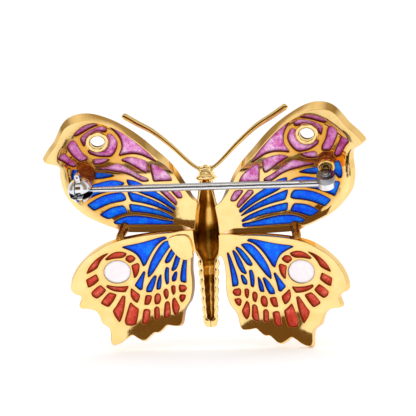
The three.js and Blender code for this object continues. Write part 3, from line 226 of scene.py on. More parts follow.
def droop(depth, side, u, v):
    """How far the tip of the left forewing hangs below its mirror image."""
    if side > 0 or depth is not fore_depth:
        return 0.0
    return DROOP * smoothstep((u - 11) / 11) * smoothstep((v - 5.4) / 3.6)


def wing_points(depth, side, u, v, w):
    """Points w in front of the back face of a wing, for arrays u, v and w."""
    u, v, w = np.broadcast_arrays(*[np.asarray(a, dtype=float) for a in (u, v, w)])
    step = 0.01
    su = (depth(u + step, v) - depth(u - step, v)) / (2 * step)
    sv = (depth(u, v + step) - depth(u, v - step)) / (2 * step)
    n = np.sqrt(su * su + 1 + sv * sv)
    height = v - w * sv / n - side * LIFT - droop(depth, side, u, v)
    return np.stack([side * (u - w * su / n), depth(u, v) + w / n, height], axis=-1)


def wing_point(depth, side, u, v, w):
    return Vector(wing_points(depth, side, u, v, w).tolist())


def unit(a):
    """Vectors brought to length one."""
    return a / np.maximum(np.linalg.norm(a, axis=-1, keepdims=True), 1e-9)


def bend(start, corner, stop, steps):
    """Points on a curve that cuts a corner."""
    curve = []
    for k in range(steps + 1):
        t = k / steps
        curve.append((1 - t) ** 2 * start + 2 * t * (1 - t) * corner + t * t * stop)
    return curve


def rounded(points, tight, spacing):
    """Closed loop through given corners: gentle bends flow, sharp ones get a small radius."""
    count = len(points)
    p = [Vector(q) for q in points]
    out = []
    for i in range(count):
        a, b, c = p[i - 1], p[i], p[(i + 1) % count]
        d1, d2 = (b - a).length, (c - b).length
        turn = abs((b - a).angle(c - b))
        near = min(d1, d2)
        blend = min(max((math.degrees(turn) - 30) / 30, 0), 1)
        cut = (1 - blend) * 0.5 * near + blend * min(tight, 0.42 * near)
        start = b + (a - b) * (cut / d1)
        stop = b + (c - b) * (cut / d2)
        out += bend(start, b, stop, max(3, round(math.degrees(turn) / 12)))
    q = np.array([tuple(x) for x in out])
    length = np.linalg.norm(np.roll(q, -1, axis=0) - q, axis=1)
    total = length.sum()
    at = np.concatenate([[0], np.cumsum(length)])
    wrapped = np.vstack([q, q[:1]])
    number = max(8, int(round(total / spacing)))
    places = np.arange(number) * total / number
    loop = np.stack([np.interp(places, at, wrapped[:, k]) for k in (0, 1)], axis=1)
    if area(loop) < 0:
        loop = loop[::-1]
    return loop


def oval(centre, ru, rv, count):
    """Oval loop of that many points, counter-clockwise."""
    a = np.arange(count) * 2 * math.pi / count
    return np.stack([centre[0] + ru * np.cos(a), centre[1] + rv * np.sin(a)], axis=1)


def area(loop):
    x, y = loop[:, 0], loop[:, 1]
    return 0.5 * float(np.sum(x * np.roll(y, -1) - np.roll(x, -1) * y))


def outwards(loop):
    """Unit normals in the plane, pointing out of a counter-clockwise loop."""
    t = unit(np.roll(loop, -1, axis=0) - loop) + unit(loop - np.roll(loop, 1, axis=0))
    return unit(np.stack([t[:, 1], -t[:, 0]], axis=1))


def inside(points, loop):
    """Which points lie inside the loop."""
    x, y = points[:, 0][:, None], points[:, 1][:, None]
    x0, y0 = loop[:, 0][None], loop[:, 1][None]
    x1, y1 = np.roll(loop[:, 0], -1)[None], np.roll(loop[:, 1], -1)[None]
    crosses = (y0 > y) != (y1 > y)
    rise = np.where(np.abs(y1 - y0) < 1e-12, 1e-12, y1 - y0)
    return (np.sum(crosses & (x < (x1 - x0) * (y - y0) / rise + x0), axis=1) % 2).astype(bool)


def distance(points, loop):
    """Distance of each point from the nearest segment of the loop."""
    a = loop[None]
    d = (np.roll(loop, -1, axis=0) - loop)[None]
    p = points[:, None]
    t = np.clip(np.sum((p - a) * d, axis=2) / np.maximum(np.sum(d * d, axis=2), 1e-12), 0, 1)
    return np.sqrt(np.min(np.sum((a + t[..., None] * d - p) ** 2, axis=2), axis=1))


def grid(low, high, spacing):
    """Points in staggered rows that fill a box."""
    rows = []
    row = 0
    v = low[1] + spacing / 2
    while v < high[1]:
        u = np.arange(low[0] + (spacing / 2 if row % 2 else spacing), high[0], spacing)
        rows.append(np.stack([u, np.full_like(u, v)], axis=1))
        v += spacing * 0.866
        row += 1
    return np.vstack(rows)


def triangles(outer, holes, extra):
    """Triangulates a flat region. Gives its points, in the order outer, holes, extra, and its faces."""
    loops = [outer] + list(holes)
    points = np.vstack(loops + ([extra] if len(extra) else []))
    edges = []
    at = 0
    for loop in loops:
        n = len(loop)
        edges += [(at + i, at + (i + 1) % n) for i in range(n)]
        at += n
    result = delaunay_2d_cdt([Vector(p) for p in points], edges, [], 0, 1e-7, True)
    source = [ids[0] if ids else -1 for ids in result[3]]
    faces = np.array([[source[i] for i in f] for f in result[2]])
    faces = faces[(faces >= 0).all(axis=1)]
    centres = points[faces].mean(axis=1)
    keep = inside(centres, outer)
    for hole in holes:
        keep &= ~inside(centres, hole)
    faces = faces[keep]
    a, b, c = points[faces[:, 0]], points[faces[:, 1]], points[faces[:, 2]]
    turn = (b - a)[:, 0] * (c - a)[:, 1] - (b - a)[:, 1] * (c - a)[:, 0]
    flip = turn < 0
    faces[flip] = faces[flip][:, ::-1]
    return points, faces


def solid_mesh(name, verts, faces):
    """Mesh of a closed surface, with its faces turned outwards."""
    mesh = bpy.data.meshes.new(name)
    mesh.from_pydata(verts, [], [list(map(int, f)) for f in faces])
    mesh.update()
    mesh.calc_loop_triangles()
    volume = 0.0
    for t in mesh.loop_triangles:
        a, b, c = [mesh.vertices[i].co for i in t.vertices]
        volume += a.dot(b.cross(c))
    if volume < 0:
        mesh.flip_normals()
    return mesh


def added(name, data):
    """A new object in the scene."""
    obj = bpy.data.objects.new(name, data)
    bpy.context.scene.collection.objects.link(obj)
    return obj


def piece(name, verts, faces, look, body="brooch", normals=None, values=None, replaces=()):
    """A mesh in mm becomes one piece of the object, riding a body and standing for CAD nodes."""
    placed = (np.asarray(verts, dtype=float) + np.array(SHIFT)) * MM
    mesh = solid_mesh(name, placed.tolist(), faces)
    mesh.polygons.foreach_set("use_smooth", [True] * len(mesh.polygons))
    if normals is not None:
        mesh.normals_split_custom_set_from_vertices(unit(np.asarray(normals)).tolist())
    for key, data in (values or {}).items():
        layer = mesh.attributes.new(key, "FLOAT", "POINT")
        layer.data.foreach_set("value", np.asarray(data, dtype=np.float32))
    for m in look if isinstance(look, list) else [look]:
        mesh.materials.append(m)
    obj = added(name, mesh)
    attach(obj, body)
    if replaces:
        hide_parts(*replaces)
    return obj


def skin(rows, around, capped=True):
    """Quads between rows of points. The ends are capped, or else the last row meets the first."""
    faces = []
    for i in range(rows - 1 if capped else rows):
        low, high = i * around, (i + 1) % rows * around
        for k in range(around):
            after = (k + 1) % around
            faces.append([low + k, low + after, high + after, high + k])
    if capped:
        faces.append(list(range(around))[::-1])
        faces.append([(rows - 1) * around + k for k in range(around)])
    return faces


def merged(parts):
    """Joins (verts, faces, values) tuples into one."""
    verts, faces, values = [], [], []
    at = 0
    for v, f, shades in parts:
        verts.append(v)
        faces += [[i + at for i in face] for face in f]
        values.append(shades)
        at += len(v)
    return np.vstack(verts), faces, np.concatenate(values)


def flat(u, v):
    return np.zeros_like(np.asarray(u, dtype=float))


def plate(depth, side, outer, holes, w0, w1, edge, spacing=0.45, skirt=None, relief=flat, painted_shade=flat):
    """Wing plate with openings. Its edges are rounded and its normals follow the dome exactly.

    skirt(u, v) is how far the outer wall flares out towards the front there, relief(u, v) how
    far the back face is sunk, and the last function how much shade is painted on the outer
    wall. The cell walls and the sunk back face get painted shade too.
    """
    def place(q, w):
        u, v = q[:, 0], q[:, 1]
        sunk = relief(u, v) if w < w0 + 2 * edge else 0.0
        return wing_points(depth, side, u, v, w + sunk)

    def facing(q, w):
        """Unit normal of the surface at that level, towards the front."""
        step = np.array([[0.08, 0.0]])
        rise = np.array([[0.0, 0.08]])
        n = unit(np.cross(place(q + step, w) - place(q - step, w), place(q + rise, w) - place(q - rise, w)))
        return n * np.sign(n[:, 1:2])

    profile = []
    for degrees, level in ((0, w0 + edge), (45, w0 + edge), (90, w0 + edge),
                           (90, w1 - edge), (135, w1 - edge), (180, w1 - edge)):
        a = math.radians(degrees)
        profile.append((-edge + edge * math.sin(a), level - edge * math.cos(a), a))
    loops = [outer] + list(holes)
    outs = [outwards(outer)] + [-outwards(h) for h in holes]
    flats = [p - edge * n for p, n in zip(loops, outs)]
    cloud = grid(outer.min(axis=0), outer.max(axis=0), spacing)
    keep = inside(cloud, flats[0])
    near = distance(cloud, flats[0])
    for hole in flats[1:]:
        keep &= ~inside(cloud, hole)
        near = np.minimum(near, distance(cloud, hole))
    extra = cloud[keep & (near > 0.4 * spacing)]
    _, faces = triangles(flats[0], flats[1:], extra)
    boundary = sum(len(loop) for loop in loops)
    flare = np.zeros(boundary)
    if skirt is not None:
        flare[: len(outer)] = skirt(outer[:, 0], outer[:, 1])
    base = np.vstack(loops)
    out = np.vstack(outs)
    verts, normals, shade_values = [], [], []
    for k, (o, w, a) in enumerate(profile):
        # painted shade: inner cell walls darken by depth, the outer wall as given, the sunk field by its
        # depth
        shade_values.append(np.full(boundary, PAINTED_WALL_SHADE[k]))
        shade_values[-1][: len(outer)] = (PAINTED_RIM_SHADE + painted_shade(outer[:, 0], outer[:, 1])) * (1.0 if k else 0.0)
        shade_values[-1] += (relief(base[:, 0], base[:, 1]) if k == 0 else 0)
        share = min(max((w - w0) / (w1 - w0), 0), 1)
        q = base + out * (o + flare * share)[:, None]
        here = place(q, w)
        across = unit(place(q + 0.01 * out, w) - here)
        through = facing(q, w)
        lean = np.arctan2(flare, w1 - w0) * math.sin(a)
        verts.append(here)
        normals.append(unit(-np.cos(a - lean)[:, None] * through + np.sin(a - lean)[:, None] * across))
    tris = []
    for k in range(len(profile) - 1):
        at = 0
        for number, loop in enumerate(loops):
            n = len(loop)
            for i in range(n):
                a, b = k * boundary + at + i, k * boundary + at + (i + 1) % n
                quad = [a, b, b + boundary, a + boundary]
                tris.append(quad if number == 0 else quad[::-1])
            at += n
    inner = len(extra)
    total = len(profile) * boundary
    for w, first, sign, offset in ((w0, 0, -1, 0), (w1, (len(profile) - 1) * boundary, 1, inner)):
        if inner:
            here = place(extra, w)
            through = facing(extra, w)
            verts.append(here)
            normals.append(sign * through)
            # the sunk back face gets painted shade by its depth
            shade_values.append(relief(extra[:, 0], extra[:, 1]) * (1.0 if sign < 0 else 0.0))
        for f in faces:
            ids = [first + i if i < boundary else total + offset + i - boundary for i in f]
            tris.append(ids if sign > 0 else ids[::-1])
    return np.vstack(verts), tris, np.vstack(normals), np.concatenate(shade_values)


def pane(depth, side, loop, relief):
    """One enamel cell: it climbs its walls at the back, and is slightly hollow between them."""
    out = outwards(loop)
    rim = loop + 0.015 * out
    cloud = grid(loop.min(axis=0), loop.max(axis=0), 0.3)
    extra = cloud[inside(cloud, loop)]
    extra = extra[distance(extra, loop) > 0.3] if len(extra) else extra
    for d in (0.09, 0.2):
        ring = loop - d * out
        ring = ring[inside(ring, loop)]
        ring = ring[distance(ring, loop) > 0.85 * d] if len(ring) else ring
        extra = np.vstack([extra, ring]) if len(ring) else extra
    points, faces = triangles(rim, [], extra)
    u, v = points[:, 0], points[:, 1]
    d = distance(points, loop)
    d[: len(rim)] = 0
    climb = np.exp(-d / 0.11)
    verts = np.vstack([wing_points(depth, side, u, v, ENAMEL_BACK - ENAMEL_CLIMB * climb + relief(u, v)),
                       wing_points(depth, side, u, v, ENAMEL_FRONT - 0.05 * climb)])
    count = len(points)
    tris = [list(f[::-1]) for f in faces] + [[i + count for i in f] for f in faces]
    n = len(rim)
    tris += [[i, (i + 1) % n, (i + 1) % n + count, i + count] for i in range(n)]
    # painted shade near the cell walls, partly the deeper enamel pooled there
    shade = np.exp(-d / 0.24)
    return verts, tris, np.concatenate([shade, shade])


def hoops(depth, side, centre, sizes, around, relief=flat):
    """Ovals of (half width, half height, level) on a wing, one row of points after another."""
    verts = []
    for ru, rv, w in sizes:
        loop = oval(centre, ru, rv, around)
        verts += wing_points(depth, side, loop[:, 0], loop[:, 1], w + relief(loop[:, 0], loop[:, 1])).tolist()
    return verts


def circle(centre, side, up, r, around):
    angles = [2 * math.pi * k / around for k in range(around)]
    return [tuple(centre + side * (r * math.cos(a)) + up * (r * math.sin(a))) for a in angles]


def lathe(profile, axis, place, around=48):
    """Turned piece: profile of (radius, height) along the axis, closed at both ends."""
    axis = Vector(axis).normalized()
    hint = Vector((1, 0, 0)) if abs(axis.x) < 0.9 else Vector((0, 0, 1))
    side = axis.cross(hint).normalized()
    up = axis.cross(side).normalized()
    place = Vector(place)
    verts = []
    for r, h in profile:
        verts += circle(place + axis * h, side, up, r, around)
    return verts, skin(len(profile), around)


def soft_corners(profile, radius):
    """Rounds the corners of an open profile of (radius, height) points."""
    out = [profile[0]]
    for a, b, c in zip(profile, profile[1:], profile[2:]):
        a, b, c = Vector(a), Vector(b), Vector(c)
        d1, d2 = (b - a).length, (c - b).length
        cut = min(radius, 0.45 * d1, 0.45 * d2)
        out += [tuple(q) for q in bend(b + (a - b) * (cut / d1), b, b + (c - b) * (cut / d2), 3)]
    out.append(profile[-1])
    return out


def tube(points, radii, steps, caps):
    """Round wire along a smooth curve, its ends domed."""
    p = [Vector(q) for q in points]
    p = [2 * p[0] - p[1]] + p + [2 * p[-1] - p[-2]]
    spans = len(p) - 3
    around = 24

    def at(t):
        t = min(max(t, 0), 1) * spans
        i = min(int(t), spans - 1)
        t -= i
        a, b, c, d = p[i:i + 4]
        square, cube = 2 * a - 5 * b + 4 * c - d, 3 * b - a - 3 * c + d
        return 0.5 * ((2 * b) + (c - a) * t + square * t * t + cube * t ** 3)

    rings = []
    for k in range(steps + 1):
        t = k / steps
        ahead = (at(t + 0.01) - at(t - 0.01)).normalized()
        rings.append((at(t), ahead, float(np.interp(t * (len(radii) - 1), range(len(radii)), radii))))
    angles = [math.pi / 2 * k / caps for k in range(1, caps)]
    first, last = rings[0], rings[-1]
    head = [(first[0] - first[1] * first[2] * math.cos(a), first[1], first[2] * math.sin(a)) for a in angles]
    tail = [(last[0] + last[1] * last[2] * math.sin(a), last[1], last[2] * math.cos(a)) for a in angles]
    rings = head + rings + tail
    verts = []
    for centre, ahead, r in rings:
        side = ahead.cross(Vector((0, 1, 0.001))).normalized()
        up = side.cross(ahead).normalized()
        verts += circle(centre, side, up, r, around)
    return verts, skin(len(rings), around)


# ---- helpers for solid work on the findings ----
def loose(verts, faces):
    """A helper object in mm that isn't part of the scene's pieces."""
    return added("tool", solid_mesh("tool", [tuple(v) for v in verts], faces))


def brick(centre, half, axes):
    """Block with its middle at centre, half sizes along three axes."""
    c = Vector(centre)
    verts = [c + axes[0] * (half[0] * i) + axes[1] * (half[1] * j) + axes[2] * (half[2] * k)
             for i in (-1, 1) for j in (-1, 1) for k in (-1, 1)]
    faces = [(0, 1, 3, 2), (4, 6, 7, 5), (0, 4, 5, 1), (2, 3, 7, 6), (0, 2, 6, 4), (1, 5, 7, 3)]
    return loose(verts, faces)


def cylinder(centre, axis, radius, half, around=64):
    v, f = lathe([(radius, -half), (radius, half)], axis, centre, around)
    return loose(v, f)


def ball(centre, radius, axis=(0, 0, 1), stretch=1.0):
    rings = 32
    profile = [(radius * math.sin(math.pi * k / rings), -radius * stretch * math.cos(math.pi * k / rings))
               for k in range(1, rings)]
    v, f = lathe(profile, axis, centre, 64)
    return loose(v, f)


def combine(base, other, operation):
    """Adds a solid operation of base with another object, to be worked out by finished()."""
    m = base.modifiers.new(operation, "BOOLEAN")
    m.operation = operation
    m.solver = "EXACT"
    m.object = other


def finished(base, tools):
    """Verts and faces of base with its modifiers, in mm. Base and its tools go."""
    bpy.context.view_layer.update()
    done = bpy.data.meshes.new_from_object(base.evaluated_get(bpy.context.evaluated_depsgraph_get()))
    verts = [tuple(v.co) for v in done.vertices]
    faces = [list(p.vertices) for p in done.polygons]
    for obj in [base] + tools:
        bpy.data.objects.remove(obj)
    bpy.data.meshes.remove(done)
    return verts, faces


def carve(base, steps):
    """Runs ('+' or '-', tool) steps on base and gives the resulting verts and faces, in mm."""
    for sign, tool in steps:
        combine(base, tool, "UNION" if sign == "+" else "DIFFERENCE")
    return finished(base, [tool for _, tool in steps])


def crisp(obj, degrees, bevel=0.0):
    """Smooth faces with sharp edges kept, and the sharp edges broken by a small bevel."""
    if bevel:
        m = obj.modifiers.new("bevel", "BEVEL")
        m.width = bevel * MM
        m.segments = 2
        m.limit_method = "ANGLE"
        m.angle_limit = math.radians(degrees)
        m.harden_normals = True
    obj.data.set_sharp_from_angle(angle=math.radians(degrees))


def blended(parts, voxel, smooth):
    """Merges overlapping shapes in mm into one soft skin."""
    base = parts[0]
    for other in parts[1:]:
        combine(base, other, "UNION")
    m = base.modifiers.new("skin", "REMESH")
    m.mode = "VOXEL"
    m.voxel_size = voxel
    m.use_smooth_shade = True
    m = base.modifiers.new("soften", "SMOOTH")
    m.iterations = smooth
    m.factor = 0.5
    return finished(base, parts[1:])


# ---- materials ----
def fill(target, inputs):
    """Sets inputs of a shader node: a socket is linked, anything else becomes the value."""
    for key, value in inputs.items():
        if isinstance(value, bpy.types.NodeSocket):
            target.id_data.links.new(value, target.inputs[key])
        else:
            target.inputs[key].default_value = value


def node(tree, kind, inputs, **settings):
    """A new node of that kind, with its settings made before its inputs."""
    n = tree.nodes.new(kind)
    for key, value in settings.items():
        setattr(n, key, value)
    fill(n, inputs)
    return n


def material(name, inputs):
    """A new material, with its node tree and its shader."""
    m = bpy.data.materials.new(name)
    m.use_nodes = True
    shader = m.node_tree.nodes["Principled BSDF"]
    fill(shader, inputs)
    return m, m.node_tree, shader


def calc(tree, operation, *values, clamp=False):
    """Arithmetic on sockets and numbers."""
    n = node(tree, "ShaderNodeMath", dict(enumerate(values)), operation=operation, use_clamp=clamp)
    return n.outputs[0]


def mix(tree, factor, a, b, blend="MIX"):
    n = node(tree, "ShaderNodeMix", {}, data_type="RGBA", blend_type=blend)
    fill(n, {"Factor": factor, "A": a, "B": b})
    return n.outputs["Result"]


def attribute(tree, name):
    return node(tree, "ShaderNodeAttribute", {}, attribute_name=name).outputs["Fac"]


def coordinate(tree, kind, axis):
    """One axis of a kind of texture coordinate."""
    where = node(tree, "ShaderNodeTexCoord", {}).outputs[kind]
    return node(tree, "ShaderNodeSeparateXYZ", {0: where}).outputs[axis]


def ramp(tree, source, stops):
    """Colour ramp with stops of (place, colour), where a colour of one part is a grey."""
    n = node(tree, "ShaderNodeValToRGB", {"Fac": source})
    while len(n.color_ramp.elements) < len(stops):
        n.color_ramp.elements.new(0.5)
    for e, (at, colour) in zip(n.color_ramp.elements, stops):
        e.position = at
        e.color = (*colour, 1) if len(colour) == 3 else (colour[0],) * 3 + (1,)
    return n.outputs["Color"]


def noise(tree, scale, detail=3.0, roughness=0.5):
    where = node(tree, "ShaderNodeTexCoord", {}).outputs["Object"]
    inputs = {"Vector": where, "Scale": scale, "Detail": detail, "Roughness": roughness}
    return node(tree, "ShaderNodeTexNoise", inputs).outputs["Fac"]


def bump(tree, height, strength, depth, under=None):
    """Normal of a relief that deep in mm, over another normal if there is one."""
    inputs = {"Height": height, "Strength": strength, "Distance": depth * MM}
    if under is not None:
        inputs["Normal"] = under
    return node(tree, "ShaderNodeBump", inputs).outputs["Normal"]


def polished_metal(name, light, deep, rough, wave=0.012, shadow=None):
    """Hand-polished metal: slow waves in the surface, fine wheel marks, faint change of tone."""
    m, tree, shader = material(name, {"Metallic": 1.0})
    colour = ramp(tree, noise(tree, 420.0, 2.0), [(0.3, deep), (0.7, light)])
    # with shadow, shade is painted: the tone mixes to the two shadow colours where the shade attribute is
    # high
    if shadow:
        painted_shade = attribute(tree, "painted_shade")
        share = ramp(tree, painted_shade, [(0.0, (0.0,)), (0.4, (1.0,))])
        colour = mix(tree, share, colour, ramp(tree, painted_shade, [(0.4, shadow[0]), (0.9, shadow[1])]))
    gloss = ramp(tree, noise(tree, 9000.0, 2.0), [(0.35, (rough * 0.7,)), (0.75, (rough * 1.5,))])
    waves = bump(tree, noise(tree, 700.0, 1.0), 1.0, wave)
    marks = bump(tree, noise(tree, 16000.0, 3.0), 1.0, 0.0006, waves)
    fill(shader, {"Base Color": colour, "Roughness": gloss, "Normal": marks})
    return m


def painted_reflection_metal(name, rough, stops):
    """Round bright wire with painted reflections: light and dark bands by how far the surface faces up."""
    m, tree, shader = material(name, {"Metallic": 0.85, "Roughness": rough})
    # painted reflections: the tone goes by how far the normal faces up, as bright and dark bands
    moved = calc(tree, "MULTIPLY_ADD", noise(tree, 600.0, 2.0), 0.1, 0.45)
    place = calc(tree, "MULTIPLY_ADD", coordinate(tree, "Normal", "Z"), 0.5, moved)
    fill(shader, {"Base Color": ramp(tree, place, stops)})
    return m


def glass_enamel(name, stops, edge, grain, bright, tip=None):
    """Fired enamel over bright metal: colour darker at the cell walls, partly deeper enamel pooled
    there and partly painted shade; sparkle in its depth, and a faint painted glow of its own colour.

    With tip, the colour is multiplied by that towards the tips of the wings.
    """
    # The enamel glows faintly in its own colour: painted light.
    m, tree, shader = material(name, {
        "Metallic": bright, "Roughness": 0.28, "Specular IOR Level": 0.12, "Emission Strength": 0.13,
        "Coat Weight": 0.25, "Coat Roughness": 0.02, "Coat IOR": 1.3})
    grit = noise(tree, grain, 3.0, 0.7)
    cloud = calc(tree, "MULTIPLY", noise(tree, 900.0, 4.0, 0.6), 0.55)
    colour = ramp(tree, calc(tree, "MULTIPLY_ADD", grit, 0.45, cloud), stops)
    if tip:
        far = calc(tree, "ABSOLUTE", coordinate(tree, "Object", "X"))
        outward = calc(tree, "MULTIPLY_ADD", far, 110.0, -1.35, clamp=True)
        colour = mix(tree, outward, colour, (*tip, 1), "MULTIPLY")
    # darker at the cell walls: partly deeper enamel pooled there, partly painted shade
    share = ramp(tree, attribute(tree, "painted_shade"), [(0.25, (0.0,)), (0.8, (1.0,))])
    colour = mix(tree, share, colour, (*edge, 1))
    fill(shader, {"Base Color": colour, "Emission Color": colour, "Normal": bump(tree, grit, 0.6, 0.004)})
    return m


def srgb(r, g, b):
    """Linear colour of a screen colour of 0 to 255."""
    return tuple((c / 255) / 12.92 if c <= 10 else ((c / 255 + 0.055) / 1.055) ** 2.4 for c in (r, g, b))


# GOLD's shadow colours are painted shade on its cell walls, outer walls and sunk field.
GOLD = polished_metal("yellow_gold", srgb(255, 226, 158), srgb(252, 214, 138), 0.06,
                      shadow=(srgb(224, 156, 52), srgb(98, 62, 14)))
GOLD_DEEP = polished_metal("antenna_gold", srgb(250, 208, 125), srgb(240, 190, 100), 0.08)
# The light and dark bands of the stem and the antenna wire are painted reflections.
STEM_METAL = painted_reflection_metal("stem_steel", 0.22, [
    (0.1, srgb(180, 184, 192)), (0.26, srgb(250, 252, 255)), (0.34, srgb(224, 226, 230)),
    (0.4, srgb(26, 27, 30)), (0.49, srgb(34, 35, 38)), (0.56, srgb(200, 202, 205)),
    (0.68, srgb(255, 255, 255)), (0.95, srgb(160, 162, 168))])
WIRE_GOLD = painted_reflection_metal("antenna_gold_wire", 0.14, [
    (0.08, srgb(150, 96, 30)), (0.26, srgb(255, 224, 146)), (0.4, srgb(230, 176, 88)),
    (0.46, srgb(70, 38, 6)), (0.56, srgb(78, 44, 10)), (0.62, srgb(226, 170, 80)),
    (0.76, srgb(255, 230, 160)), (0.94, srgb(170, 116, 40))])
STRUT_GOLD = polished_metal("strut_gold", srgb(216, 160, 78), srgb(176, 118, 44), 0.16)
WHITE_METAL = polished_metal("white_metal", srgb(232, 232, 235), srgb(214, 215, 220), 0.07, wave=0.004)
DULL_METAL = polished_metal("dull_white_metal", srgb(176, 178, 184), srgb(96, 98, 104), 0.16, wave=0.02)

# Inside of the body: cast grain, with painted reflections and shade from the tone attribute as lighter and
# darker patches.
CAST_WITH_PAINTED_LIGHT, tree, shader = material("cast_gold_inside_painted_light", {"Metallic": 1.0, "Roughness": 0.3})
grainy = noise(tree, 2600.0, 5.0, 0.65)
painted_light_patches = calc(tree, "MULTIPLY_ADD", noise(tree, 620.0, 2.0), 0.3, attribute(tree, "tone"))
tint = ramp(tree, calc(tree, "MULTIPLY_ADD", grainy, 0.35, painted_light_patches), [
    (0.3, srgb(52, 30, 5)), (0.55, srgb(112, 72, 16)), (0.8, srgb(176, 122, 38)), (1.0, srgb(236, 190, 100))])
fill(shader, {"Base Color": tint, "Normal": bump(tree, grainy, 1.0, 0.02)})

# The third colour of each enamel is its dark colour at the cell walls, partly deeper enamel and partly
# painted shade.
PINK = glass_enamel("pink_enamel", [
    (0.36, srgb(176, 44, 124)), (0.44, srgb(216, 108, 184)), (0.53, srgb(236, 166, 220)),
    (0.63, srgb(255, 228, 250))],
    srgb(92, 2, 22), 7000.0, 0.2, srgb(214, 130, 190))
BLUE = glass_enamel("blue_enamel", [
    (0.34, srgb(0, 56, 240)), (0.5, srgb(0, 100, 255)), (0.66, srgb(20, 156, 255))],
    srgb(6, 2, 84), 5000.0, 0.1)
RED = glass_enamel("red_enamel", [
    (0.34, srgb(190, 40, 20)), (0.5, srgb(214, 74, 56)), (0.66, srgb(240, 128, 104))],
    srgb(134, 40, 2), 6500.0, 0.45)

WHITE, tree, shader = material("white_enamel", {
    "Roughness": 0.25, "Coat Weight": 0.6, "Coat Roughness": 0.08, "Subsurface Weight": 0.15,
    "Subsurface Radius": (0.0008, 0.0005, 0.0005)})
veil = noise(tree, 1400.0, 4.0)
milk = ramp(tree, veil, [(0.3, srgb(250, 238, 244)), (0.7, srgb(255, 248, 250))])
fill(shader, {"Base Color": milk, "Normal": bump(tree, veil, 0.5, 0.004)})

SOLDER, tree, shader = material("solder_gold", {"Metallic": 0.85, "Roughness": 0.38})
crust = noise(tree, 3200.0, 5.0, 0.7)
burnt = ramp(tree, crust, [(0.3, srgb(84, 36, 6)), (0.55, srgb(150, 76, 22)), (0.8, srgb(214, 150, 70))])
fill(shader, {"Base Color": burnt, "Normal": bump(tree, crust, 1.0, 0.05)})


# ---- wings ----
def window(x, start, stop, soft):
    """One between start and stop, falling off softly to nothing at both."""
    return smoothstep((x - start) / soft) * smoothstep((stop - x) / soft)


def top_flare(u, v):
    """How far the side wall stands out beyond the back face along the upper edge and tip."""
    upper = smoothstep((v - 1.0) / 2.0) * smoothstep((u - 1.9) / 1.2)
    return upper * (0.22 + 0.26 * window(u, 4.0, 19.0, 3.0) * smoothstep((v - 4) / 3))


def low_edge(u, v):
    """Where the lower edge of the forewing has a ledge."""
    return window(u, 2.6, 13.4, 1.2) * smoothstep((-1.6 - v) / 0.3)


def fore_inset(u, v):
    """How far the back edge of the forewing's side wall lies inside the outline."""
    return top_flare(u, v) + 0.3 * low_edge(u, v)


def fore_skirt(u, v):
    """How far that wall flares out again towards the front."""
    return top_flare(u, v) + 0.65 * low_edge(u, v)


# Edge of the sunk field of the forewing. It runs just inside the border.
FIELD = [
    (6.5, 7.6), (8.6, 9.7), (10.6, 11.3), (12.6, 12.35), (14.4, 12.75), (15.9, 12.55), (17.2, 11.8),
    (18.4, 10.85), (19.6, 9.7), (20.1, 8.7), (19.6, 7.7), (19.2, 6.4), (19.25, 5.0), (19.0, 3.7),
    (18.4, 2.3), (17.5, 1.1), (16.3, 0.0), (14.9, -0.9), (13.4, -1.7), (11.0, -2.1), (8.0, -1.0),
    (6.0, 2.0), (5.5, 5.5),
]
field_loop = rounded(FIELD, 1.2, 0.3)


def field_map(cell=0.1, blur=0.28):
    """Depth of the sunk field on a fine grid, with its shoulder drawn out softly."""
    low, high = field_loop.min(axis=0) - 2, field_loop.max(axis=0) + 2
    us, vs = np.arange(low[0], high[0], cell), np.arange(low[1], high[1], cell)
    q = np.stack(np.meshgrid(us, vs, indexing="ij"), axis=-1).reshape(-1, 2)
    d = distance(q, field_loop) * np.where(inside(q, field_loop), 1, -1)
    outer = smoothstep((q[:, 0] + 0.35 * q[:, 1] - 10.0) / 6.0)
    depth = (0.32 * outer * smoothstep((d + 0.35) / 1.3)).reshape(len(us), len(vs))
    reach = int(3 * blur / cell)
    weights = np.exp(-0.5 * (np.arange(-reach, reach + 1) * cell / blur) ** 2)
    weights /= weights.sum()
    for axis in (0, 1):
        depth = np.apply_along_axis(lambda row: np.convolve(row, weights, "same"), axis, depth)
    return low, cell, depth


FIELD_LOW, FIELD_CELL, FIELD_DEPTH = field_map()


def dish(u, v):
    """The pierced field lies deeper than the border along the outer half of the forewing."""
    a = np.clip((np.asarray(u, dtype=float) - FIELD_LOW[0]) / FIELD_CELL, 0, FIELD_DEPTH.shape[0] - 1.001)
    b = np.clip((np.asarray(v, dtype=float) - FIELD_LOW[1]) / FIELD_CELL, 0, FIELD_DEPTH.shape[1] - 1.001)
    i, j = a.astype(int), b.astype(int)
    a, b = a - i, b - j
    return ((1 - a) * (1 - b) * FIELD_DEPTH[i, j] + a * (1 - b) * FIELD_DEPTH[i + 1, j]
            + (1 - a) * b * FIELD_DEPTH[i, j + 1] + a * b * FIELD_DEPTH[i + 1, j + 1])


def fore_painted_shade(u, v):
    """Shade painted on the forewing's outer wall, on its lower ledge and near the root, on top of the rim's
    painted shade.
    """
    return 0.85 * low_edge(u, v) + 0.75 * window(u, -1.0, 4.6, 1.0) * smoothstep((v - 1.0) / 1.0)


# Shade painted on the hindwing's outer wall, low down near the root.
def hind_painted_shade(u, v):
    return 0.7 * window(u, -1.0, 4.6, 1.0) * smoothstep((-5.6 - v) / 1.0)


def hind_skirt(u, v):
    return window(u, 3.0, 17.0, 2.0) * smoothstep((v + 8.0) / 2.0) * 0.22


def opened(cells, tight, by):
    """Rounded cell outlines, filed open by that much."""
    loops = [rounded(c, tight, 0.13) for c in cells]
    return [loop + by * outwards(loop) for loop in loops]


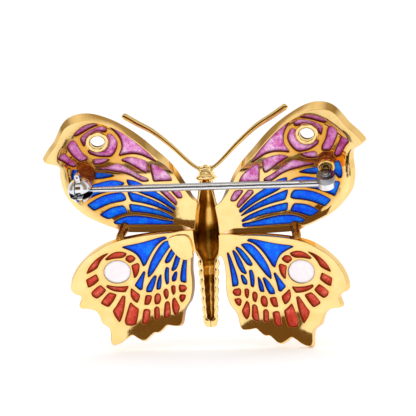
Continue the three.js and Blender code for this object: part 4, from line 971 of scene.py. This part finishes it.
fore_cells = {"pink": opened(FORE_PINK, 0.2, 0.05), "blue": opened(FORE_BLUE, 0.16, 0.04)}
hind_cells = {"blue": opened(HIND_BLUE, 0.16, 0.01), "red": opened(HIND_RED, 0.16, 0.01)}
eye_hole = oval(EYE_RING, 0.98, 0.98 * EYE_SQUASH, 48)
stone_hole = oval(STONE, 1.8, 1.58, 64)
fore_outer = rounded(FORE_OUTLINE, 0.25, 0.16)
fore_outer = fore_outer - fore_inset(fore_outer[:, 0], fore_outer[:, 1])[:, None] * outwards(fore_outer)
hind_outer = rounded(HIND_OUTLINE, 0.25, 0.16)
hind_outer = hind_outer - hind_skirt(hind_outer[:, 0], hind_outer[:, 1])[:, None] * outwards(hind_outer)

# Raised ring round the open eye, half round in section, as (radius, level).
RING = [(0.95, 0.25), (0.95, -0.06), (1.0, -0.2), (1.1, -0.29), (1.26, -0.32), (1.42, -0.29), (1.53, -0.2),
        (1.58, -0.06), (1.58, 0.25)]
# White eye, domed to the front, as (level, share of its full size).
DOME = [(0.13, 0.02), (0.13, 0.5), (0.13, 0.85), (0.15, 0.95), (0.2, 1.0), (0.95, 1.0), (1.12, 0.93),
        (1.26, 0.75), (1.36, 0.45), (1.4, 0.02)]

for side, tag in SIDES:
    v, f, n, t = plate(fore_depth, side, fore_outer, fore_cells["pink"] + fore_cells["blue"] + [eye_hole],
                       0.0, THICK, EDGE, spacing=0.26, skirt=fore_skirt, relief=dish, painted_shade=fore_painted_shade)
    piece(f"forewing_{tag}", v, f, GOLD, normals=n, values={"painted_shade": t},
          replaces=[f"forewing_frame_{tag}"])
    v, f, n, t = plate(hind_depth, side, hind_outer, hind_cells["blue"] + hind_cells["red"] + [stone_hole],
                       0.0, THICK, EDGE, skirt=hind_skirt, painted_shade=hind_painted_shade)
    piece(f"hindwing_{tag}", v, f, GOLD, normals=n, values={"painted_shade": t},
          replaces=[f"hindwing_frame_{tag}"])
    for wing, hue, depth, cells, colour, relief, old in (
            ("forewing", "pink", fore_depth, fore_cells, PINK, dish, "enamel_pink"),
            ("forewing", "blue", fore_depth, fore_cells, BLUE, dish, "enamel_fore_blue"),
            ("hindwing", "blue", hind_depth, hind_cells, BLUE, flat, "enamel_hind_blue"),
            ("hindwing", "red", hind_depth, hind_cells, RED, flat, "enamel_red")):
        v, f, t = merged([pane(depth, side, cell, relief) for cell in cells[hue]])
        piece(f"{wing}_{hue}_cells_{tag}", v, f, colour, values={"painted_shade": t},
              replaces=[f"{old}_{tag}"])

    v = hoops(fore_depth, side, EYE_RING, [(r, r * EYE_SQUASH, w) for r, w in RING], 72, dish)
    ring = piece(f"ring_{tag}", v, skin(len(RING), 72, capped=False), GOLD,
                 replaces=[f"eye_ring_{tag}"])
    crisp(ring, 50)
    v = hoops(hind_depth, side, STONE, [(1.78 * share, 1.56 * share, w) for w, share in DOME], 64)
    stone = piece(f"white_stone_{tag}", v, skin(len(DOME), 64), WHITE,
                  replaces=[f"white_eye_{tag}"])
    crisp(stone, 50)

    # strut between the two wings, flared where it is soldered
    top = wing_point(fore_depth, side, 11.9, -2.0, 0.55)
    bottom = wing_point(hind_depth, side, 12.15, -3.7, 0.78)
    points = [top.lerp(bottom, t) for t in (0, 0.2, 0.5, 0.8, 1)]
    v, f = tube(points, [0.8, 0.68, 0.62, 0.62, 0.5], 24, 3)
    piece(f"wing_strut_{tag}", v, f, STRUT_GOLD, replaces=[f"strut_{tag}"])

v, f, n, _ = plate(hind_depth, -1, rounded(PLAQUE, 0.45, 0.14), [], -0.42, -0.05, 0.12, 0.4)
piece("blank_plaque", v, f, GOLD, normals=n, replaces=["plaque"])

# ---- body: a hollow boat, polished outside and left as cast inside, with painted reflections and shade in the hollow ----
# height, outer half width, half width of the hollow, depth of the bulge
BODY = [
    (5.0, 0.85, 0.25, 1.3), (4.4, 0.95, 0.38, 1.6), (3.8, 1.0, 0.5, 1.9), (2.8, 1.1, 0.76, 2.2),
    (1.4, 1.35, 1.05, 2.5), (0.0, 1.68, 1.38, 2.8), (-1.4, 1.92, 1.62, 3.0), (-2.6, 1.98, 1.68, 3.0),
    (-4.0, 1.95, 1.65, 2.8), (-5.2, 1.85, 1.55, 2.5), (-5.9, 1.6, 1.2, 2.3), (-6.5, 1.3, 0.88, 2.15),
]
SEGMENT = 1.25                # length of a ring of the abdomen
for k in range(7):
    slim = 1 - 0.05 * k
    hollow = 0.78 - 0.05 * k
    top = -6.5 - SEGMENT * k
    BODY += [(top - 0.25 * SEGMENT, 1.5 * slim, hollow, 2.2 * slim),
             (top - 0.65 * SEGMENT, 1.5 * slim, hollow - 0.03, 2.15 * slim),
             (top - SEGMENT, 1.25 * slim, max(hollow - 0.08, 0.05), 1.95 * slim)]
BODY += [(-15.5, 0.84, 0.3, 1.2), (-15.75, 0.5, 0.1, 0.6)]
# Painted reflections and shade of the hollow, as lighter and darker streaks along its length and
# across it: gain, then the middle, reach and power of each.
PAINTED_STREAKS = [
    (0.5, 3.0, 1.6, 2, 0, 0.5, 2), (0.55, -0.6, 1.25, 4, 0, 0.42, 4), (-0.28, -3.2, 1.0, 4, 0, 0.5, 2),
    (0.42, -5.6, 2.2, 2, 0.75, 0.35, 2), (0.6, -8.1, 0.55, 4, 0, math.inf, 2),
    (0.4, -12.0, 2.4, 4, 0, 0.5, 2),
]


def body_back(z):
    """Where the open edge of the body lies, along +Y."""
    return 0.6 + 0.06 * z


heights = np.array([r[0] for r in BODY])[::-1]
table = np.array([r[1:] for r in BODY])[::-1]
rows = np.linspace(5.0, -15.75, 200)
arc = 26
body_v, hollow_painted_light = [], []
for z in rows:
    outer, inner, bulge = [float(np.interp(z, heights, table[:, k])) for k in range(3)]
    inner = inner * float(smoothstep((z + 14.95) / 0.5)) + 0.02
    y0 = body_back(z)
    deep = max(bulge - 0.32, 0.08) * min(1, inner / max(outer - 0.45, 0.1)) * 0.95
    section = [(outer * math.cos(math.pi * i / arc), y0 + 0.05 + bulge * math.sin(math.pi * i / arc))
               for i in range(arc + 1)]
    section += [(-outer + 0.06, y0 - 0.01), (-inner - 0.1, y0 - 0.03), (-inner - 0.03, y0)]
    section += [(-inner * math.cos(math.pi * i / arc), y0 + 0.05 + deep * math.sin(math.pi * i / arc))
                for i in range(arc + 1)]
    section += [(inner + 0.03, y0), (inner + 0.1, y0 - 0.03), (outer - 0.06, y0 - 0.01)]
    for x, y in section:
        body_v.append((x, y, z))
        share = abs(x) / max(inner, 0.05)
        # painted reflections and shade of the hollow, carried by the tone attribute
        hollow_painted_light.append(0.3 + sum(
            gain * math.exp(-((z - middle) / length) ** power - ((share - across) / width) ** fall)
            for gain, middle, length, power, across, width, fall in PAINTED_STREAKS))
ring = len(section)
first_inner = arc + 4         # the hollow's faces come after the outside and its lip
faces = skin(len(rows), ring)
quads, caps = faces[:-2], faces[-2:]
hollow_at = range(first_inner, first_inner + arc)
inner_f = [face for i, face in enumerate(quads) if i % ring in hollow_at]
body_f = [face for i, face in enumerate(quads) if i % ring not in hollow_at]
body = piece("body", body_v, body_f + caps + inner_f, [GOLD, CAST_WITH_PAINTED_LIGHT],
             values={"tone": hollow_painted_light}, replaces=["body_shell"])
for number, polygon in enumerate(body.data.polygons):
    polygon.material_index = 1 if number >= len(body_f) + len(caps) else 0
crisp(body, 48)

# ---- head: two round eyes, a brow between them and a collar towards the body ----
lumps = [brick((0, 1.5, 5.85), (0.72, 0.7, 0.3), (ACROSS, Vector((0, 1, 0)), Vector((0, 0, 1)))),
         ball((0, 1.5, 4.72), 1.5, stretch=0.42), ball((0, 1.6, 5.25), 1.1, stretch=0.6),
         ball((-0.78, 1.3, 5.98), 0.42), ball((0.78, 1.3, 5.98), 0.42), ball((0.0, 1.25, 6.14), 0.44)]
v, f = blended(lumps, 0.07, 3)
piece("head_gold", v, f, GOLD, replaces=["head"])

# ---- antennae ----
ANTENNA = [(0.8, 1.1, 5.9), (2.1, 1.2, 6.85), (4.65, 1.45, 9.3), (7.2, 1.65, 11.4), (9.5, 1.8, 12.75),
           (11.2, 1.9, 13.8)]
for side, tag in SIDES:
    points = [(side * x, y, z) for x, y, z in ANTENNA]
    v, f = tube(points, [0.24, 0.27, 0.32, 0.38, 0.43, 0.45], 90, 6)
    piece(f"antenna_wire_{tag}", v, f, WIRE_GOLD, replaces=[f"antenna_{tag}"])

# ---- hinge: solder pad, collar, knuckle with its rivet, and the stem's eye ----
def trimmed_pad(profile, side, height):
    """Solder pad that ends inside the thickness of the wing."""
    base = wing_point(fore_depth, side, FINDING_X, height, 0)
    into = (wing_point(fore_depth, side, FINDING_X, height, 1) - base).normalized()
    first = into.cross(Vector((0, 0, 1))).normalized()
    half = (3, 1.5, 3)
    beyond = brick(base + into * (PAD_DEPTH + half[1]), half, (first, into, first.cross(into)))
    return carve(loose(*lathe(soft_corners(profile, 0.15), OUT, base)), [("-", beyond)])


hinge_base = wing_point(fore_depth, 1, FINDING_X, HINGE_V, 0)
KNUCKLE_AT = 3.55             # from the wing to the middle of the knuckle
knuckle_centre = hinge_base + OUT * KNUCKLE_AT
pad = [(0.9, -1.2), (1.2, -1.1), (1.22, -0.2), (1.16, 0.2), (1.05, 0.36), (0.7, 0.4)]
v, f = trimmed_pad(pad, 1, HINGE_V)
piece("solder_pad_hinge", v, f, SOLDER, replaces=["hinge_pad"])
collar = [(0.4, 0.43), (0.82, 0.43), (0.86, 0.55), (1.0, 0.7), (1.12, 0.95), (1.17, 1.2), (1.12, 1.42),
          (0.98, 1.52), (0.76, 1.5), (0.64, 1.38), (0.6, 1.2), (0.4, 1.18)]
v, f = lathe(soft_corners(collar, 0.06), OUT, hinge_base)
crisp(piece("collar_ring", v, f, GOLD_DEEP, replaces=["hinge_collar"]), 50)
RIVET_HOLE = 0.36             # radius of the bore in knuckle and eye
knuckle = cylinder(knuckle_centre, UP, 1.22, 0.45)
neck = cylinder(hinge_base + OUT * 2.05, OUT, 0.44, 0.82)
bore = cylinder(knuckle_centre, UP, RIVET_HOLE, 2.0)
v, f = carve(knuckle, [("+", neck), ("-", bore)])
crisp(piece("knuckle", v, f, DULL_METAL, replaces=["hinge_knuckle"]), 35, 0.06)
EYE_MIDDLE = -0.95            # the stem's eye lies below the knuckle on the rivet
pivot = knuckle_centre + UP * EYE_MIDDLE
rivet = [(0.05, -1.66), (0.42, -1.65), (0.54, -1.52), (0.54, -1.45), (0.32, -1.44), (0.32, 0.48),
         (0.68, 0.49), (0.68, 0.56), (0.6, 0.66), (0.5, 0.68), (0.46, 0.62), (0.4, 0.62), (0.34, 0.78),
         (0.05, 0.84)]
v, f = lathe(soft_corners(rivet, 0.03), UP, knuckle_centre)
crisp(piece("rivet", v, f, DULL_METAL, replaces=["hinge_rivet"]), 40)

# ---- catch: ball case on its pad, with the rotor in its track ----
BALL = 1.75                   # radius of the case
POST_FROM = 0.43              # the post starts this far above the wing
POST_INTO = 1.0               # and ends this far short of the ball's middle
TRACK = 0.46                  # half width of the rotor's track, and of the slot
SLOT_REACH = 2.175            # half length of the slot, which is open to the hinge's side
SLOT_AT = 0.825               # its middle, from the ball's middle towards the hinge
TAB_DROP = 0.02               # the finger tab lies this much nearer to the wing
catch_base = wing_point(fore_depth, -1, FINDING_X, CATCH_V, 0)
CATCH_AT = (catch_base.y - pivot.y) / math.cos(TILT)
catch = catch_base + OUT * CATCH_AT
pad = [(0.9, -1.3), (1.32, -1.2), (1.34, -0.3), (1.28, 0.2), (1.14, 0.5), (1.0, 0.9), (0.96, 1.7),
       (0.6, 1.75)]
v, f = trimmed_pad(pad, -1, CATCH_V)
piece("solder_pad_catch", v, f, SOLDER, replaces=["catch_pad"])
case = ball(catch, BALL, OUT)
post = cylinder(catch - OUT * ((CATCH_AT - POST_FROM + POST_INTO) / 2), OUT, 0.9,
                (CATCH_AT - POST_FROM - POST_INTO) / 2)
axes = (ACROSS, OUT, UP)
track_round = cylinder(catch, ACROSS, 1.46, TRACK)
track_open = brick(catch + OUT * 1.22, (TRACK, 1.78, 3.0), axes)
slot_open = brick(catch + ACROSS * SLOT_AT + OUT * 1.5, (SLOT_REACH, 1.5, TRACK), axes)
slot_floor = cylinder(catch + ACROSS * SLOT_AT, ACROSS, TRACK, SLOT_REACH)
v, f = carve(case, [("+", post), ("-", track_round), ("-", track_open), ("-", slot_open), ("-", slot_floor)])
crisp(piece("catch_ball", v, f, WHITE_METAL, replaces=["catch_case"]), 35, 0.04)
rotor = cylinder(catch, ACROSS, 1.4, 0.4)
rotor_bore = cylinder(catch, ACROSS, 0.55, 2.0)
rotor_slot = brick(catch + OUT * 1.5, (2.0, 1.5, 0.5), axes)
tab = brick(catch + UP * 1.72 - OUT * TAB_DROP, (0.34, 0.3, 0.63), axes)
tab_end = cylinder(catch + UP * 2.35 - OUT * TAB_DROP, OUT, 0.34, 0.3)
eyelet = cylinder(catch + UP * 2.25, OUT, 0.17, 1.0)
v, f = carve(rotor, [("-", rotor_bore), ("-", rotor_slot), ("+", tab), ("+", tab_end), ("-", eyelet)])
rotor = piece("rotor_ring", v, f, WHITE_METAL, body="rotor", replaces=["catch_rotor"])
crisp(rotor, 35, 0.04)

# ---- pin stem: tapered wire with a flat eye on the rivet ----
along = catch - pivot
reach = along.length
taper = [(0.3, -0.3), (0.5, 0.0), (0.5, 0.72 * reach), (0.44, 0.82 * reach), (0.36, reach - 1.9),
         (0.32, reach), (0.26, reach + 0.9), (0.16, reach + 1.1), (0.05, reach + 1.15)]
stem = loose(*lathe(taper, along.normalized(), pivot, 48))
stem_eye = cylinder(pivot, UP, 1.12, 0.45)
# the wire is filed flat above and below its eye
above = cylinder(pivot + UP * 1.45, UP, 3.5, 1.0)
below = cylinder(pivot - UP * 1.45, UP, 3.5, 1.0)
bore = cylinder(pivot, UP, RIVET_HOLE, 2.0)
v, f = carve(stem, [("+", stem_eye), ("-", above), ("-", below), ("-", bore)])
crisp(piece("stem", v, f, STEM_METAL, body="stem", replaces=["pin_stem"]), 35, 0.05)


# ---- floor, light and camera ----
def flag(name, corners, shade):
    """A card of one plain colour that only shows in reflections."""
    mesh = bpy.data.meshes.new(name)
    mesh.from_pydata(corners, [], [list(range(len(corners)))])
    obj = added(name, mesh)
    m, _, _ = material(name, {"Base Color": (*shade, 1), "Roughness": 1.0, "Specular IOR Level": 0.0})
    mesh.materials.append(m)
    obj.visible_camera = False
    obj.visible_shadow = False
    obj.visible_diffuse = False


low_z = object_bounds()[0][2]
floor_mesh = bpy.data.meshes.new("floor")
floor_mesh.from_pydata([(-2, -2, 0), (2, -2, 0), (2, 2, 0), (-2, 2, 0)], [], [(0, 1, 2, 3)])
floor = added("floor", floor_mesh)
floor.location.z = low_z
PAPER, _, _ = material("white_paper", {
    "Base Color": (0.9, 0.9, 0.9, 1), "Roughness": 0.9, "Specular IOR Level": 0.0,
    "Emission Color": (1, 1, 1, 1), "Emission Strength": 0.2})
floor_mesh.materials.append(PAPER)

world = bpy.data.worlds.new("studio")
bpy.context.scene.world = world
world.use_nodes = True
background = world.node_tree.nodes["Background"]
background.inputs["Strength"].default_value = 1.0

# What shiny metal sees of the room: (degrees away from a point behind the camera, tone).
SKY = [(180, (1.0,)), (110, (1.0,)), (90, (0.9,)), (78, (0.34, 0.27, 0.18)), (56, (0.46, 0.38, 0.27)),
       (46, (1.05,)), (24, (1.12,)), (0, (1.0,))]
tree = world.node_tree
towards = node(tree, "ShaderNodeVectorMath", {
    0: node(tree, "ShaderNodeTexCoord", {}).outputs["Generated"],
    1: Vector((-0.18, -0.98, 0.1)).normalized()}, operation="DOT_PRODUCT").outputs["Value"]
stops = [((math.cos(math.radians(angle)) + 1) / 2, tone) for angle, tone in SKY]
seen = ramp(tree, calc(tree, "MULTIPLY_ADD", towards, 0.5, 0.5), stops)
glossy = node(tree, "ShaderNodeLightPath", {}).outputs["Is Glossy Ray"]
fill(background, {"Color": mix(tree, glossy, (1.07, 1.07, 1.07, 1), seen)})


def direction(azimuth, elevation, far):
    """Point at that azimuth and elevation, in degrees, in front of the pin side."""
    a, e = math.radians(azimuth), math.radians(elevation)
    return (far * math.cos(e) * math.sin(a), -far * math.cos(e) * math.cos(a), far * math.sin(e))


flag("camera_side", [direction(a, e, 0.9) for a, e in (
    (-31, 0), (-28, -5), (-24, 0), (-19, 3), (-10, 4), (-2, 5), (3, 9), (7, 15), (7, 21), (-4, 22),
    (-8, 34), (-46, 34), (-46, 14), (-36, 12), (-31, 10))],
     (0.14, 0.07, 0.02))

camera_data = bpy.data.cameras.new("camera")
camera = added("camera", camera_data)
far, roll = 139.0, math.radians(2.74)
aim = SHIFT * MM              # the butterfly's own origin, between the wings
toward = Vector(direction(10.3, 1.7, 1.0))
camera.location = aim + toward * far * MM
turn = (-toward).to_track_quat("-Z", "Y")
camera.rotation_euler = (turn @ Matrix.Rotation(-roll, 3, "Z").to_quaternion()).to_euler()
camera_data.lens = 88.0
camera_data.sensor_width = 36.0
camera_data.shift_x = 0.005
camera_data.shift_y = 0.010
camera_data.clip_start = 0.001
camera_data.clip_end = 10.0
scene = bpy.context.scene
scene.camera = camera
scene.view_settings.view_transform = "Standard"
